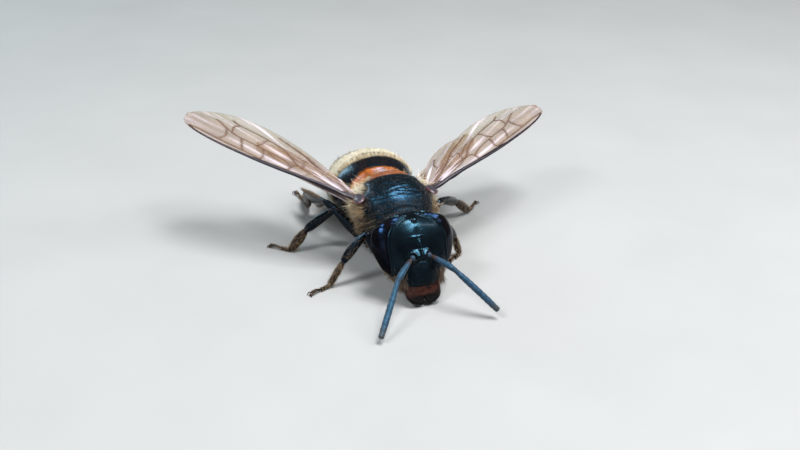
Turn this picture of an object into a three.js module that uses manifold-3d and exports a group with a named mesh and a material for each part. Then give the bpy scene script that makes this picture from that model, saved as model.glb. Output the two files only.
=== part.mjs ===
// A worker honey bee at life size, standing head down with its wings spread.
// Millimetres, +Z up. The bee faces -Y and its left side is +X. Its feet are at z = 0.
import * as THREE from 'three';
import { mergeVertices } from 'three/addons/utils/BufferGeometryUtils.js';
import Module from 'manifold-3d';

const wasm = await Module();
wasm.setup();

// ---------------------------------------------------------------- driving dimensions

const GAP = 0.04; // thin cut between two parts that touch
const MERGE = 0.0015; // corners closer than this are one corner
const THIN = 0.5; // least thickness of wings, feelers and feet
const GROUND = 0;

const LEFT = 1;
const RIGHT = -1;

// Head, in its own upright frame: it faces -Y there and its middle is the origin.
const HEAD_AT = [0.05, -2.74, 2.02];
const HEAD_TURN = 3.5; // degrees towards the bee's left
const HEAD_TIP = 27; // degrees by which the face looks up
const HEAD_LEAN = -0.5; // degrees of lean towards the bee's left
// Rows from mouth to crown: height, half width, back, front
const HEAD_ROWS = [
  [-1.6, 0.84, 0.3, -0.62],
  [-1.15, 1.02, 0.56, -0.82],
  [-0.6, 1.3, 0.68, -0.93],
  [0.0, 1.5, 0.74, -0.93],
  [0.55, 1.6, 0.75, -0.92],
  [1.05, 1.46, 0.7, -0.8],
  [1.42, 1.19, 0.56, -0.62],
  [1.64, 0.75, 0.36, -0.38],
];
const HEAD_SIDES = 24;
const HEAD_SQUARENESS = 2.3;
const EYE_AT = [1.29, 0.0, 0.24];
const EYE_HALF = [0.55, 0.74, 1.2];
const EYE_SPLAY = -4; // degrees by which the upper end is nearer the middle
const OCELLUS_RADIUS = 0.15;
const OCELLI = {
  ocellus_middle: [0, -0.68, 1.24],
  ocellus_left: [0.29, -0.42, 1.51],
  ocellus_right: [-0.29, -0.42, 1.51],
};
const LABRUM = { top: -1.62, bottom: -2.14, halfWidth: 0.62, front: -0.68, back: -0.26 };
const MANDIBLE = { root: [0.66, -0.32, -1.5], bend: [0.56, -0.38, -1.95], tip: [0.3, -0.4, -2.36] };
const SOCKET = [0.31, -0.84, -0.26];
// The elbows and tips of the feelers are places over the ground.
const FEELERS = {
  left: { side: LEFT, elbow: [1.25, -4.75, 1.95], tip: [2.8, -6.02, 0.42] },
  right: { side: RIGHT, elbow: [-1.2, -4.56, 1.73], tip: [-2.5, -6.5, 0.3] },
};
const FEELER_RADIUS = THIN / 2;

// Thorax rows from front to back: y, half width, bottom, top
const THORAX_ROWS = [
  [-1.86, 0.86, 1.75, 2.95],
  [-1.6, 1.24, 1.35, 3.35],
  [-1.05, 1.6, 1.05, 3.86],
  [-0.35, 1.84, 0.95, 4.2],
  [0.4, 1.88, 0.98, 4.28],
  [1.0, 1.76, 1.1, 4.1],
  [1.5, 1.46, 1.35, 3.6],
  [1.84, 0.98, 1.75, 2.95],
];
const THORAX_SIDES = 22;
const THORAX_SQUARENESS = 2.25;
const COLLAR_BACK = -1.3; // the pronotum ends here
const PROPODEUM_FRONT = 1.3;
const SCUTELLUM = { at: [0, 1.02, 3.86], half: [1.0, 0.42, 0.42] };
const TEGULA = { at: [1.66, -0.1, 3.56], half: [0.34, 0.5, 0.26] };
const NECK = { from: [0.02, -2.2, 1.98], to: [0, -1.7, 2.36], radius: 0.5 };
const WAIST = { from: [0, 1.7, 2.25], to: [0, 2.4, 2.36], radius: 0.4 };

// Abdomen rows from front to back: y, z of the middle, half width, half height
const ABDOMEN_ROWS = [
  [2.14, 2.4, 0.95, 0.9],
  [2.5, 2.34, 1.56, 1.4],
  [3.3, 2.22, 1.98, 1.7],
  [4.3, 2.04, 2.08, 1.78],
  [5.35, 1.82, 2.0, 1.64],
  [6.4, 1.52, 1.7, 1.36],
  [7.35, 1.18, 1.2, 0.96],
  [8.0, 0.92, 0.68, 0.56],
  [8.35, 0.76, 0.22, 0.2],
];
const ABDOMEN_JOINTS = [0, 0.13, 0.34, 0.54, 0.72, 0.87, 1]; // shares of the rows' length
const LIP = 0.06; // each ring of the abdomen tucks this far under the one before it

// Wings lie in their own plane: x from hinge to tip, y from leading to trailing edge.
const FOREWING_OUTLINE = [
  [0, -0.24], [1.2, -0.3], [4, -0.38], [7, -0.18], [8.5, 0.25], [9.2, 1.05], [8.95, 1.9],
  [8.05, 2.56], [6.6, 2.8], [5.0, 2.55], [3.4, 2.0], [2.0, 1.3], [0.9, 0.66], [0, 0.32],
];
const HINDWING_OUTLINE = [
  [0, -0.22], [1.8, -0.3], [3.8, -0.28], [5.4, 0], [6.3, 0.38], [6.5, 0.78], [6.1, 1.18],
  [5.0, 1.5], [3.6, 1.52], [2.5, 1.3], [1.6, 1.34], [0.8, 0.92], [0, 0.3],
];
const FOREWING = { hinge: [1.78, 0.16, 3.52], outline: FOREWING_OUTLINE };
const HINDWING = { hinge: [1.7, 0.72, 2.93], outline: HINDWING_OUTLINE };
// degrees swept back, raised at the tip, and twisted with the leading edge down
const WINGS = {
  forewing_left: { side: LEFT, ...FOREWING, sweep: 29, raise: 8, twist: -4 },
  forewing_right: { side: RIGHT, ...FOREWING, sweep: 34, raise: 15.5, twist: 2 },
  hindwing_left: { side: LEFT, ...HINDWING, sweep: 46, raise: 4, twist: 0 },
  hindwing_right: { side: RIGHT, ...HINDWING, sweep: 50, raise: 11, twist: 0 },
};

// Legs: where each joint stands. body is under the thorax, toe is on the ground.
const FOOT_RADIUS = THIN / 2;
const LEGS = {
  leg_fore_right: {
    body: [-0.5, -1.15, 1.45], trochanter: [-0.85, -1.5, 0.82], knee: [-1.72, -1.28, 2.42],
    ankle: [-2.8, -1.38, 1.18], heel: [-3.45, -1.42, 0], toe: [-4.5, -1.95, 0],
    femur: [0.27, 0.27], tibia: [0.27, 0.25], metatarsus: 0.25,
  },
  leg_fore_left: {
    body: [0.5, -1.15, 1.45], trochanter: [0.85, -1.5, 0.82], knee: [1.84, -1.12, 2.36],
    ankle: [2.75, -0.4, 1.14], heel: [3.1, -0.2, 0], toe: [2.3, -0.95, 0],
    femur: [0.27, 0.27], tibia: [0.27, 0.25], metatarsus: 0.25,
  },
  leg_mid_right: {
    body: [-0.75, 0.15, 1.45], trochanter: [-1.12, 0.5, 0.8], knee: [-2.49, 1.5, 2.36],
    ankle: [-3.73, 2.19, 1.14], heel: [-4.45, 2.36, 0], toe: [-5.42, 3.15, 0],
    femur: [0.28, 0.27], tibia: [0.27, 0.25], metatarsus: 0.3,
  },
  leg_mid_left: {
    body: [0.75, 0.15, 1.45], trochanter: [1.12, 0.5, 0.8], knee: [2.75, 1.75, 2.0],
    ankle: [4.1, 3.2, 1.08], heel: [5.05, 3.95, 0], toe: [5.85, 4.85, 0],
    femur: [0.28, 0.27], tibia: [0.27, 0.25], metatarsus: 0.3,
  },
  leg_hind_right: {
    body: [-0.72, 1.15, 1.5], trochanter: [-1.15, 1.6, 0.78], knee: [-2.5, 3.3, 1.95],
    ankle: [-2.75, 5.95, 0.98], heel: [-2.72, 7.5, 0], toe: [-3.0, 8.75, 0],
    femur: [0.34, 0.27], tibia: [0.52, 0.25], metatarsus: 0.48,
  },
  leg_hind_left: {
    body: [0.72, 1.15, 1.5], trochanter: [1.15, 1.6, 0.78], knee: [2.5, 3.3, 1.95],
    ankle: [2.75, 5.95, 0.98], heel: [2.72, 7.5, 0], toe: [3.0, 8.75, 0],
    femur: [0.34, 0.27], tibia: [0.52, 0.25], metatarsus: 0.48,
  },
};

// ---------------------------------------------------------------- finishes

const FINISHES = {
  shell: { color: 0x0c1013, roughness: 0.28, metalness: 0.0 },
  eye: { color: 0x07080a, roughness: 0.22, metalness: 0.0 },
  mouth: { color: 0x4a1c10, roughness: 0.35, metalness: 0.0 },
  feeler: { color: 0x2c3540, roughness: 0.5, metalness: 0.0 },
  amber: { color: 0xb35a16, roughness: 0.4, metalness: 0.0 },
  band: { color: 0x1b120c, roughness: 0.4, metalness: 0.0 },
  coat: { color: 0x9c8a68, roughness: 0.9, metalness: 0.0 },
  leg: { color: 0x17110e, roughness: 0.38, metalness: 0.0 },
  wing: { color: 0xa98b76, roughness: 0.35, metalness: 0.0 },
};
const materials = Object.fromEntries(
  Object.entries(FINISHES).map(([name, look]) => [name, new THREE.MeshStandardMaterial({ name, ...look })]),
);

// ---------------------------------------------------------------- helpers

const vector = (place) => new THREE.Vector3(...place);
const mirrored = ([x, y, z], side) => [x * side, y, z];
const degrees = THREE.MathUtils.degToRad;

function part(name, geometry, finish) {
  const mesh = new THREE.Mesh(geometry, materials[finish]);
  mesh.name = name;
  return mesh;
}

// The merged corners of a closed shape, moved by a matrix
function merged(geometry, matrix = new THREE.Matrix4()) {
  const bare = new THREE.BufferGeometry();
  bare.setAttribute('position', geometry.getAttribute('position').clone());
  bare.setIndex(geometry.index);
  bare.applyMatrix4(matrix);
  return mergeVertices(bare, MERGE);
}

function solidOf(geometry, matrix) {
  const shape = merged(geometry, matrix);
  return new wasm.Manifold(new wasm.Mesh({
    numProp: 3,
    vertProperties: new Float32Array(shape.getAttribute('position').array),
    triVerts: new Uint32Array(shape.index.array),
  }));
}

function geometryOf(solid) {
  const { vertProperties, triVerts } = solid.getMesh();
  const geometry = new THREE.BufferGeometry();
  geometry.setAttribute('position', new THREE.BufferAttribute(vertProperties, 3));
  geometry.setIndex(new THREE.BufferAttribute(triVerts, 1));
  geometry.computeVertexNormals();
  return geometry;
}

function largestPiece(solid) {
  return solid.decompose().sort((a, b) => b.volume() - a.volume())[0];
}

// A copy of a mesh's shape that stands proud of it by a thin cut
function grown(mesh, by = GAP) {
  mesh.updateWorldMatrix(true, false);
  const shape = merged(mesh.geometry, mesh.matrixWorld);
  shape.computeVertexNormals();
  const place = shape.getAttribute('position');
  const normal = shape.getAttribute('normal');
  for (let i = 0; i < place.count; i += 1) {
    place.setXYZ(
      i,
      place.getX(i) + by * normal.getX(i),
      place.getY(i) + by * normal.getY(i),
      place.getZ(i) + by * normal.getZ(i),
    );
  }
  return shape;
}

// Cuts a mesh back so that it meets its neighbours across a thin gap
function cutBy(mesh, neighbours) {
  mesh.updateWorldMatrix(true, false);
  const toLocal = mesh.matrixWorld.clone().invert();
  let solid = solidOf(mesh.geometry);
  for (const neighbour of neighbours) {
    solid = solid.subtract(solidOf(grown(neighbour), toLocal));
  }
  mesh.geometry = geometryOf(largestPiece(solid).simplify(MERGE));
  return mesh;
}

// Keeps the side of a mesh that a plane's normal points to, a distance past the plane
function keepBeyond(mesh, point, normal, distance) {
  mesh.updateWorldMatrix(true, false);
  const world = solidOf(mesh.geometry, mesh.matrixWorld);
  const offset = vector(point).dot(normal) + distance;
  const kept = world.trimByPlane(normal.toArray(), offset);
  mesh.geometry = geometryOf(kept.simplify(MERGE)).applyMatrix4(mesh.matrixWorld.clone().invert());
  return mesh;
}

// A closed skin over rings of equal length; each end closes on its own middle or on a tip
function skin(rings, { startTip, endTip } = {}) {
  const sides = rings[0].length;
  const middle = (ring) => ring.reduce((sum, p) => sum.add(p), new THREE.Vector3()).divideScalar(sides);
  const points = [...rings.flat(), startTip ?? middle(rings[0]), endTip ?? middle(rings.at(-1))];
  const faces = [];
  for (let side = 0; side < sides; side += 1) {
    const next = (side + 1) % sides;
    const last = (rings.length - 1) * sides;
    faces.push(points.length - 2, side, next);
    faces.push(points.length - 1, last + next, last + side);
    for (let row = 0; row < rings.length - 1; row += 1) {
      const here = row * sides;
      const there = here + sides;
      faces.push(here + side, there + side, there + next);
      faces.push(here + side, there + next, here + next);
    }
  }
  const geometry = new THREE.BufferGeometry().setFromPoints(points);
  geometry.setIndex(faces);
  if (volumeOf(geometry) < 0) {
    geometry.setIndex(faces.toReversed());
  }
  geometry.computeVertexNormals();
  return geometry;
}

function volumeOf(geometry) {
  const place = geometry.getAttribute('position');
  const corner = [0, 1, 2].map(() => new THREE.Vector3());
  let volume = 0;
  for (let i = 0; i < geometry.index.count; i += 3) {
    corner.forEach((point, k) => point.fromBufferAttribute(place, geometry.index.getX(i + k)));
    volume += corner[0].dot(corner[1].cross(corner[2])) / 6;
  }
  return volume;
}

// An oval ring; a higher squareness gives flatter sides. It has a flat facet at the bottom.
function ovalRing(middle, across, up, sides, squareness = 2) {
  const bulge = (value) => Math.sign(value) * Math.abs(value) ** (2 / squareness);
  return Array.from({ length: sides }, (_, i) => {
    const angle = ((i + 0.5) / sides) * 2 * Math.PI;
    const point = middle.clone().addScaledVector(across, bulge(Math.sin(angle)));
    return point.addScaledVector(up, -bulge(Math.cos(angle)));
  });
}

// Smooth values between the rows of a short table
function between(rows, share) {
  const at = share * (rows.length - 1);
  const row = Math.min(Math.floor(at), rows.length - 2);
  const t = at - row;
  const pick = (i, k) => rows[THREE.MathUtils.clamp(i, 0, rows.length - 1)][k];
  return rows[0].map((_, k) => {
    const [a, b, c, d] = [-1, 0, 1, 2].map((step) => pick(row + step, k));
    return b + 0.5 * t * (c - a + t * (2 * a - 5 * b + 4 * c - d + t * (3 * (b - c) + d - a)));
  });
}

const shares = (count, from = 0, to = 1) =>
  Array.from({ length: count }, (_, i) => from + ((to - from) * i) / (count - 1));

// An oval ball whose poles point up and down
function ellipsoid(half, around = 16, rows = 10) {
  return new THREE.SphereGeometry(1, around, rows).rotateX(Math.PI / 2).scale(...half);
}

// A round or oval limb along a list of places; halves gives [wide, thin] at each place
function limb(places, halves, thinAxis, sides = 8, ends = {}) {
  const points = places.map(vector);
  const rings = points.map((point, i) => {
    const ahead = points[Math.min(i + 1, points.length - 1)];
    const behind = points[Math.max(i - 1, 0)];
    const along = ahead.clone().sub(behind).normalize();
    const wide = along.clone().cross(thinAxis).normalize();
    const thin = wide.clone().cross(along).normalize();
    return ovalRing(point, wide.multiplyScalar(halves[i][0]), thin.multiplyScalar(halves[i][1]), sides);
  });
  return skin(rings, ends);
}

// ---------------------------------------------------------------- head

function headShell() {
  const rings = shares(13).map((share) => {
    const [z, halfWidth, back, front] = between(HEAD_ROWS, share);
    const middle = new THREE.Vector3(0, (back + front) / 2, z);
    const deep = new THREE.Vector3(0, (back - front) / 2, 0);
    return ovalRing(middle, new THREE.Vector3(halfWidth, 0, 0), deep, HEAD_SIDES, HEAD_SQUARENESS);
  });
  const crown = HEAD_ROWS.at(-1);
  return part('head', skin(rings, { endTip: new THREE.Vector3(0, 0, crown[0] + 0.06) }), 'shell');
}

function compoundEye(name, side) {
  const eye = part(name, ellipsoid(EYE_HALF, 16, 12), 'eye');
  eye.position.set(...mirrored(EYE_AT, side));
  eye.rotation.y = degrees(EYE_SPLAY) * side;
  return eye;
}

function ocellus(name, place) {
  const lens = part(name, ellipsoid([OCELLUS_RADIUS, OCELLUS_RADIUS, OCELLUS_RADIUS], 10, 6), 'eye');
  lens.position.set(...place);
  return lens;
}

function labrum() {
  const { top, bottom, halfWidth, front, back } = LABRUM;
  const rings = [[top, 1], [(top + bottom) / 2, 0.97], [bottom, 0.84]].map(([z, share]) => {
    const middle = new THREE.Vector3(0, (front + back) / 2, z);
    const deep = new THREE.Vector3(0, ((back - front) / 2) * share, 0);
    return ovalRing(middle, new THREE.Vector3(halfWidth * share, 0, 0), deep, 14, 3);
  });
  return part('labrum', skin(rings), 'mouth');
}

function mandible(name, side) {
  const { root, bend, tip } = MANDIBLE;
  const places = [root, bend, tip].map((place) => mirrored(place, side));
  const halves = [[0.25, 0.25], [0.3, 0.27], [0.3, 0.2]];
  return part(name, limb(places, halves, new THREE.Vector3(0, 1, 0), 10), 'mouth');
}

function feeler(name, { side, elbow, tip }, head) {
  const socket = vector(mirrored(SOCKET, side));
  const [bend, end] = [elbow, tip].map((place) => head.worldToLocal(vector(place)));
  const up = new THREE.Vector3(0, 0, 1);
  const scapePlaces = [0, 0.35, 1].map((t) => socket.clone().lerp(bend, t).toArray());
  const scapeHalves = [[0.2, 0.2], [FEELER_RADIUS, FEELER_RADIUS], [FEELER_RADIUS, FEELER_RADIUS]];
  const scape = part(`${name}_scape`, limb(scapePlaces, scapeHalves, up), 'feeler');
  const bow = new THREE.Vector3(0, -0.05, 0.03);
  const flagellumPlaces = [0, 0.3, 0.65, 1].map((t) =>
    bend.clone().lerp(end, t).addScaledVector(bow, Math.sin(Math.PI * t)).toArray());
  const halves = flagellumPlaces.map(() => [FEELER_RADIUS, FEELER_RADIUS]);
  const tipEnd = vector(flagellumPlaces.at(-1)).add(end.clone().sub(bend).setLength(FEELER_RADIUS * 0.5));
  const shaft = limb(flagellumPlaces, halves, up, 8, { endTip: tipEnd });
  const flagellum = part(`${name}_flagellum`, shaft, 'feeler');
  return [scape, flagellum];
}

function buildHead() {
  const frame = new THREE.Group();
  frame.position.set(...HEAD_AT);
  frame.rotation.order = 'ZXY';
  frame.rotation.set(degrees(-HEAD_TIP), degrees(HEAD_LEAN), degrees(HEAD_TURN));
  frame.updateMatrixWorld();

  const shell = headShell();
  const lip = labrum();
  const jaws = [mandible('mandible_left', LEFT), mandible('mandible_right', RIGHT)];
  const eyes = [compoundEye('eye_left', LEFT), compoundEye('eye_right', RIGHT)];
  const lenses = Object.entries(OCELLI).map(([name, place]) => ocellus(name, place));
  frame.add(shell, lip, ...jaws, ...eyes, ...lenses);
  frame.updateMatrixWorld();
  [lip, ...jaws, ...eyes, ...lenses].forEach((piece) => cutBy(piece, [shell]));
  const middleCut = new THREE.Vector3(1, 0, 0).transformDirection(frame.matrixWorld);
  jaws.forEach((jaw, i) => {
    const outward = middleCut.clone().multiplyScalar(i === 0 ? LEFT : RIGHT);
    keepBeyond(jaw, frame.getWorldPosition(new THREE.Vector3()).toArray(), outward, GAP / 2);
    keepBeyond(jaw, [0, 0, GROUND], new THREE.Vector3(0, 0, 1), 0);
    cutBy(jaw, [lip]);
  });

  for (const [side, setting] of Object.entries(FEELERS)) {
    const [scape, flagellum] = feeler(`antenna_${side}`, setting, frame);
    frame.add(scape, flagellum);
    cutBy(scape, [shell]);
    jointCut(scape, flagellum, setting.elbow);
  }
  return { frame, shell };
}

// Parts two lengths of a limb on the plane that halves the angle between them
function jointCut(before, after, place) {
  before.updateWorldMatrix(true, false);
  after.updateWorldMatrix(true, false);
  const middleOf = (mesh) => {
    const box = new THREE.Box3().setFromObject(mesh);
    return box.getCenter(new THREE.Vector3());
  };
  const joint = vector(place);
  const arriving = joint.clone().sub(middleOf(before)).normalize();
  const leaving = middleOf(after).sub(joint).normalize();
  const normal = arriving.add(leaving).normalize();
  keepBeyond(after, place, normal, GAP / 2);
  keepBeyond(before, place, normal.clone().negate(), GAP / 2);
}

// ---------------------------------------------------------------- thorax

// The whole thorax, which its divisions are cut from
function thoraxBarrel() {
  const rings = shares(15).map((share) => {
    const [y, halfWidth, bottom, top] = between(THORAX_ROWS, share);
    const middle = new THREE.Vector3(0, y, (bottom + top) / 2);
    const up = new THREE.Vector3(0, 0, (top - bottom) / 2);
    return ovalRing(middle, new THREE.Vector3(halfWidth, 0, 0), up, THORAX_SIDES, THORAX_SQUARENESS);
  });
  return part('thorax', skin(rings), 'shell');
}

function buildThorax(headShellMesh) {
  const back = new THREE.Vector3(0, 1, 0);
  const front = back.clone().negate();
  const whole = thoraxBarrel();
  const division = (name, finish) => part(name, whole.geometry, finish);
  const collar = keepBeyond(division('pronotum', 'coat'), [0, COLLAR_BACK, 0], front, GAP / 2);
  const propodeum = keepBeyond(division('propodeum', 'coat'), [0, PROPODEUM_FRONT, 0], back, GAP / 2);
  const barrel = division('thorax', 'shell');
  keepBeyond(barrel, [0, COLLAR_BACK, 0], back, GAP / 2);
  keepBeyond(barrel, [0, PROPODEUM_FRONT, 0], front, GAP / 2);

  const scutellum = part('scutellum', ellipsoid(SCUTELLUM.half, 16, 10), 'shell');
  scutellum.position.set(...SCUTELLUM.at);
  cutBy(barrel, [scutellum]);
  cutBy(propodeum, [scutellum]);

  const tegulae = [['tegula_left', LEFT], ['tegula_right', RIGHT]].map(([name, side]) => {
    const cap = part(name, ellipsoid(TEGULA.half, 12, 8), 'shell');
    cap.position.set(...mirrored(TEGULA.at, side));
    return cutBy(cap, [barrel]);
  });
  cutBy(collar, [headShellMesh]);
  return { whole, collar, barrel, propodeum, scutellum, tegulae };
}

// The neck and the waist are short round links
function link(name, { from, to, radius }) {
  const halves = [[radius, radius], [radius, radius]];
  return part(name, limb([from, to], halves, new THREE.Vector3(1, 0, 0), 12), 'shell');
}

// ---------------------------------------------------------------- abdomen

function abdomenRing(share, scale) {
  const [y, z, halfWidth, halfHeight] = between(ABDOMEN_ROWS, share);
  const [nextY, nextZ] = between(ABDOMEN_ROWS, Math.min(share + 0.01, 1));
  const [lastY, lastZ] = between(ABDOMEN_ROWS, Math.max(share - 0.01, 0));
  const slope = Math.atan2(nextZ - lastZ, nextY - lastY);
  const up = new THREE.Vector3(0, -Math.sin(slope), Math.cos(slope)).multiplyScalar(halfHeight * scale);
  return ovalRing(new THREE.Vector3(0, y, z), new THREE.Vector3(halfWidth * scale, 0, 0), up, 20);
}

function abdomenSegment(index) {
  const start = ABDOMEN_JOINTS[index];
  const end = ABDOMEN_JOINTS[index + 1];
  const gapShare = GAP / (ABDOMEN_ROWS.at(-1)[0] - ABDOMEN_ROWS[0][0]);
  const rings = shares(4, start + (index ? gapShare : 0), end).map((share, i) => {
    const tuck = index && i === 0 ? LIP : 0;
    return abdomenRing(share, 1 - tuck);
  });
  const finish = index < 2 ? 'amber' : 'band';
  return part(`abdomen_${index + 1}`, skin(rings), finish);
}

// ---------------------------------------------------------------- wings

function wing(name, { side, outline, hinge, sweep, raise, twist }) {
  const corners = outline.map(([x, y]) => new THREE.Vector3(x, y, 0));
  const curve = new THREE.CatmullRomCurve3(corners, true, 'centripetal');
  const rim = curve.getPoints(44).slice(0, -1);
  const shape = new THREE.Shape(rim.map((point) => new THREE.Vector2(point.x, point.y)));
  const geometry = new THREE.ExtrudeGeometry(shape, { depth: THIN, bevelEnabled: false, steps: 1 });
  geometry.translate(0, 0, -THIN / 2);
  if (side === RIGHT) {
    geometry.rotateY(Math.PI);
  }
  const plate = part(name, geometry, 'wing');
  plate.position.set(...mirrored(hinge, side));
  plate.rotation.order = 'ZYX';
  plate.rotation.set(degrees(twist), degrees(-raise) * side, degrees(sweep) * side);
  return plate;
}

// ---------------------------------------------------------------- legs

function legPlane(setting) {
  const thigh = vector(setting.knee).sub(vector(setting.trochanter));
  const shin = vector(setting.ankle).sub(vector(setting.knee));
  return thigh.cross(shin).normalize();
}

// One length of a leg: narrow where it bends, full in the middle, with rounded ends
function legLength(name, from, to, [wide, thin], thinAxis) {
  const start = vector(from);
  const end = vector(to);
  const along = end.clone().sub(start);
  const least = THIN / 2;
  const narrow = (half) => Math.max(half * 0.8, least * 0.9);
  const steps = [
    [0, narrow(wide), narrow(thin)],
    [0.3, wide, thin],
    [0.8, wide, thin],
    [1, narrow(wide), narrow(thin)],
  ];
  const places = steps.map(([share]) => start.clone().addScaledVector(along, share).toArray());
  const overrun = along.clone().setLength(least * 0.6);
  const ends = { startTip: start.clone().sub(overrun), endTip: end.clone().add(overrun) };
  const geometry = limb(places, steps.map(([, w, t]) => [w, t]), thinAxis, 8, ends);
  return part(name, geometry, 'leg');
}

// The foot goes down to the heel and then lies along the ground on a narrow flat
function foot(name, { ankle, heel, toe, metatarsus }) {
  const rise = FOOT_RADIUS * Math.cos(Math.PI / 8);
  const lifted = ([x, y]) => [x, y, GROUND + rise];
  const down = vector(lifted(heel)).sub(vector(ankle));
  const ahead = vector(toe).sub(vector(heel));
  const up = new THREE.Vector3(0, 0, 1);
  const side = ahead.clone().cross(up).normalize();
  const at = (share) => vector(ankle).addScaledVector(down, share);
  const ring = (middle, along, half) => {
    const across = side.clone().addScaledVector(along, -side.dot(along)).normalize();
    const over = across.clone().cross(along).normalize();
    return ovalRing(middle, across.multiplyScalar(half[0]), over.multiplyScalar(half[1]), 8);
  };
  const fall = down.clone().normalize();
  const level = ahead.clone().normalize();
  const flat = [FOOT_RADIUS, FOOT_RADIUS];
  const heelTurn = fall.clone().add(level).normalize();
  const rings = [
    ring(at(0), fall, [0.24, 0.24]),
    ring(at(0.2), fall, [FOOT_RADIUS, metatarsus]),
    ring(at(0.7), fall, [FOOT_RADIUS, metatarsus * 0.92]),
    ring(vector(lifted(heel)), heelTurn, flat),
    ring(vector(lifted(heel)).addScaledVector(level, 0.32), level, flat),
    ring(vector(lifted(toe)), level, flat),
  ];
  const overrun = fall.multiplyScalar(0.12);
  return part(name, skin(rings, { startTip: vector(ankle).sub(overrun) }), 'leg');
}

function buildLeg(name, setting, neighbours) {
  const across = legPlane(setting);
  const coxa = legLength(`${name}_coxa`, setting.body, setting.trochanter, [0.34, 0.3], across);
  const femur = legLength(`${name}_femur`, setting.trochanter, setting.knee, setting.femur, across);
  const tibia = legLength(`${name}_tibia`, setting.knee, setting.ankle, setting.tibia, across);
  const tarsus = foot(`${name}_tarsus`, setting);
  cutBy(coxa, neighbours);
  cutBy(femur, neighbours);
  jointCut(coxa, femur, setting.trochanter);
  jointCut(femur, tibia, setting.knee);
  jointCut(tibia, tarsus, setting.ankle);
  keepBeyond(tarsus, [0, 0, GROUND], new THREE.Vector3(0, 0, 1), 0);
  return [coxa, femur, tibia, tarsus];
}

// ---------------------------------------------------------------- the whole bee

const bee = new THREE.Group();
const { frame: headFrame, shell: headShellMesh } = buildHead();
const { whole, collar, barrel, propodeum, scutellum, tegulae } = buildThorax(headShellMesh);
const segments = ABDOMEN_JOINTS.slice(1).map((_, index) => abdomenSegment(index));
const neck = cutBy(link('neck', NECK), [headShellMesh, collar]);
const waist = cutBy(link('waist', WAIST), [propodeum, segments[0]]);
const wings = Object.entries(WINGS).map(([name, setting]) =>
  cutBy(wing(name, setting), [whole, scutellum, ...tegulae]));
const legs = Object.entries(LEGS).flatMap(([name, setting]) => buildLeg(name, setting, [whole]));
bee.add(headFrame, neck, collar, barrel, scutellum, propodeum, ...tegulae);
bee.add(waist, ...segments, ...wings, ...legs);

// The origin is the middle of the bee's box, at ground level
const middle = new THREE.Box3().setFromObject(bee, true).getCenter(new THREE.Vector3());
bee.position.set(-middle.x, -middle.y, 0);
bee.updateMatrixWorld(true);

export default bee;
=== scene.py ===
# %% [markdown]
# # A worker honey bee in Blender
# The bee is a still, life-size model: it stands head down with its wings spread, and most of the hair
# of its back is worn off. Its solids come packed from the CAD step, and this script dresses them.
# The solids are loaded first, because every plate, wing and hair below is placed by them.

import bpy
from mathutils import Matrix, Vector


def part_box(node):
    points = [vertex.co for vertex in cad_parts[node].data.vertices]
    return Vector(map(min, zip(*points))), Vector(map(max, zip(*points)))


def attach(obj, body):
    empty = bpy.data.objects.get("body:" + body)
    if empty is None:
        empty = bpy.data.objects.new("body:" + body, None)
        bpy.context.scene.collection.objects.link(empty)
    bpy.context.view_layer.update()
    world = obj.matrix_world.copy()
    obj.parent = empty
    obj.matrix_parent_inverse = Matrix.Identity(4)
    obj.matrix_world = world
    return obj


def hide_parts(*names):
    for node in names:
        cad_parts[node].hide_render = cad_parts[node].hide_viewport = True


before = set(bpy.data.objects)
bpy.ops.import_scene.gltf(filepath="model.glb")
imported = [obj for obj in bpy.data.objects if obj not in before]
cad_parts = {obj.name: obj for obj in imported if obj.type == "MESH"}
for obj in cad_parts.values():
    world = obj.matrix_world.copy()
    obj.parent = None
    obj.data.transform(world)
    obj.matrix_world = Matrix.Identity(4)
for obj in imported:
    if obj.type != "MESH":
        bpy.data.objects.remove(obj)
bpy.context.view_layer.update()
print("solids loaded:", len(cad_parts))

# %% Bring in the modelling tools
import math

import bmesh
import bpy
import numpy as np
from mathutils import Matrix, Quaternion, Vector, kdtree, noise

# %% [markdown]
# ## The bee's own frame
# Blender works in metres, and a bee is easier to think of in millimetres. So each piece is drawn in the
# bee's own frame: millimetres, the floor at z = 0, the middle of the thorax over the origin, the face
# towards -Y and the bee's left towards +X. One matrix then takes a finished piece to its place. The
# middle of the thorax is read from its solid, so nothing has to be fitted by eye.

# %% Find the place of the bee's frame
MM = 0.001
SIDES = {"left": 1, "right": -1}
thorax_low, thorax_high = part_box("thorax")
OVER = (thorax_low + thorax_high) / 2
PLACE = Matrix.Translation((OVER.x, OVER.y, 0)) @ Matrix.Scale(MM, 4)
print("thorax middle, mm:", round(OVER.x / MM, 3), round(OVER.y / MM, 3))


# %% Helpers for places and smooth measures
def mirrored(place, side):
    """A place given for the bee's left, on the left (side 1) or the right (side -1)."""
    return (place[0] * side, place[1], place[2])


def turned(angle, axis):
    """A turn by an angle in degrees round an axis."""
    return Matrix.Rotation(math.radians(angle), 4, axis)


def between(rows, share):
    """Smooth values between the rows of a short table, for one share of its length or for many."""
    rows = np.array(rows, float)
    at = np.clip(np.asarray(share, float), 0, 1) * (len(rows) - 1)
    row = np.minimum(at.astype(int), len(rows) - 2)
    t = (at - row)[..., None]
    a, b, c, d = (rows[np.clip(row + step, 0, len(rows) - 1)] for step in (-1, 0, 1, 2))
    return b + 0.5 * t * (c - a + t * (2 * a - 5 * b + 4 * c - d + t * (3 * (b - c) + d - a)))


def ramp(value, start, end):
    """0 before start and 1 after end, with a soft rise in between."""
    t = np.clip((value - start) / (end - start), 0, 1)
    return t * t * (3 - 2 * t)


def near(distance, reach):
    """1 at no distance, falling to nothing a little past reach."""
    return np.exp(-((distance / reach) ** 2))


def bulge(value, squareness):
    """The sine or cosine of an oval whose sides are flatter than a circle's."""
    return np.sign(value) * np.abs(value) ** (2 / squareness)


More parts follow.
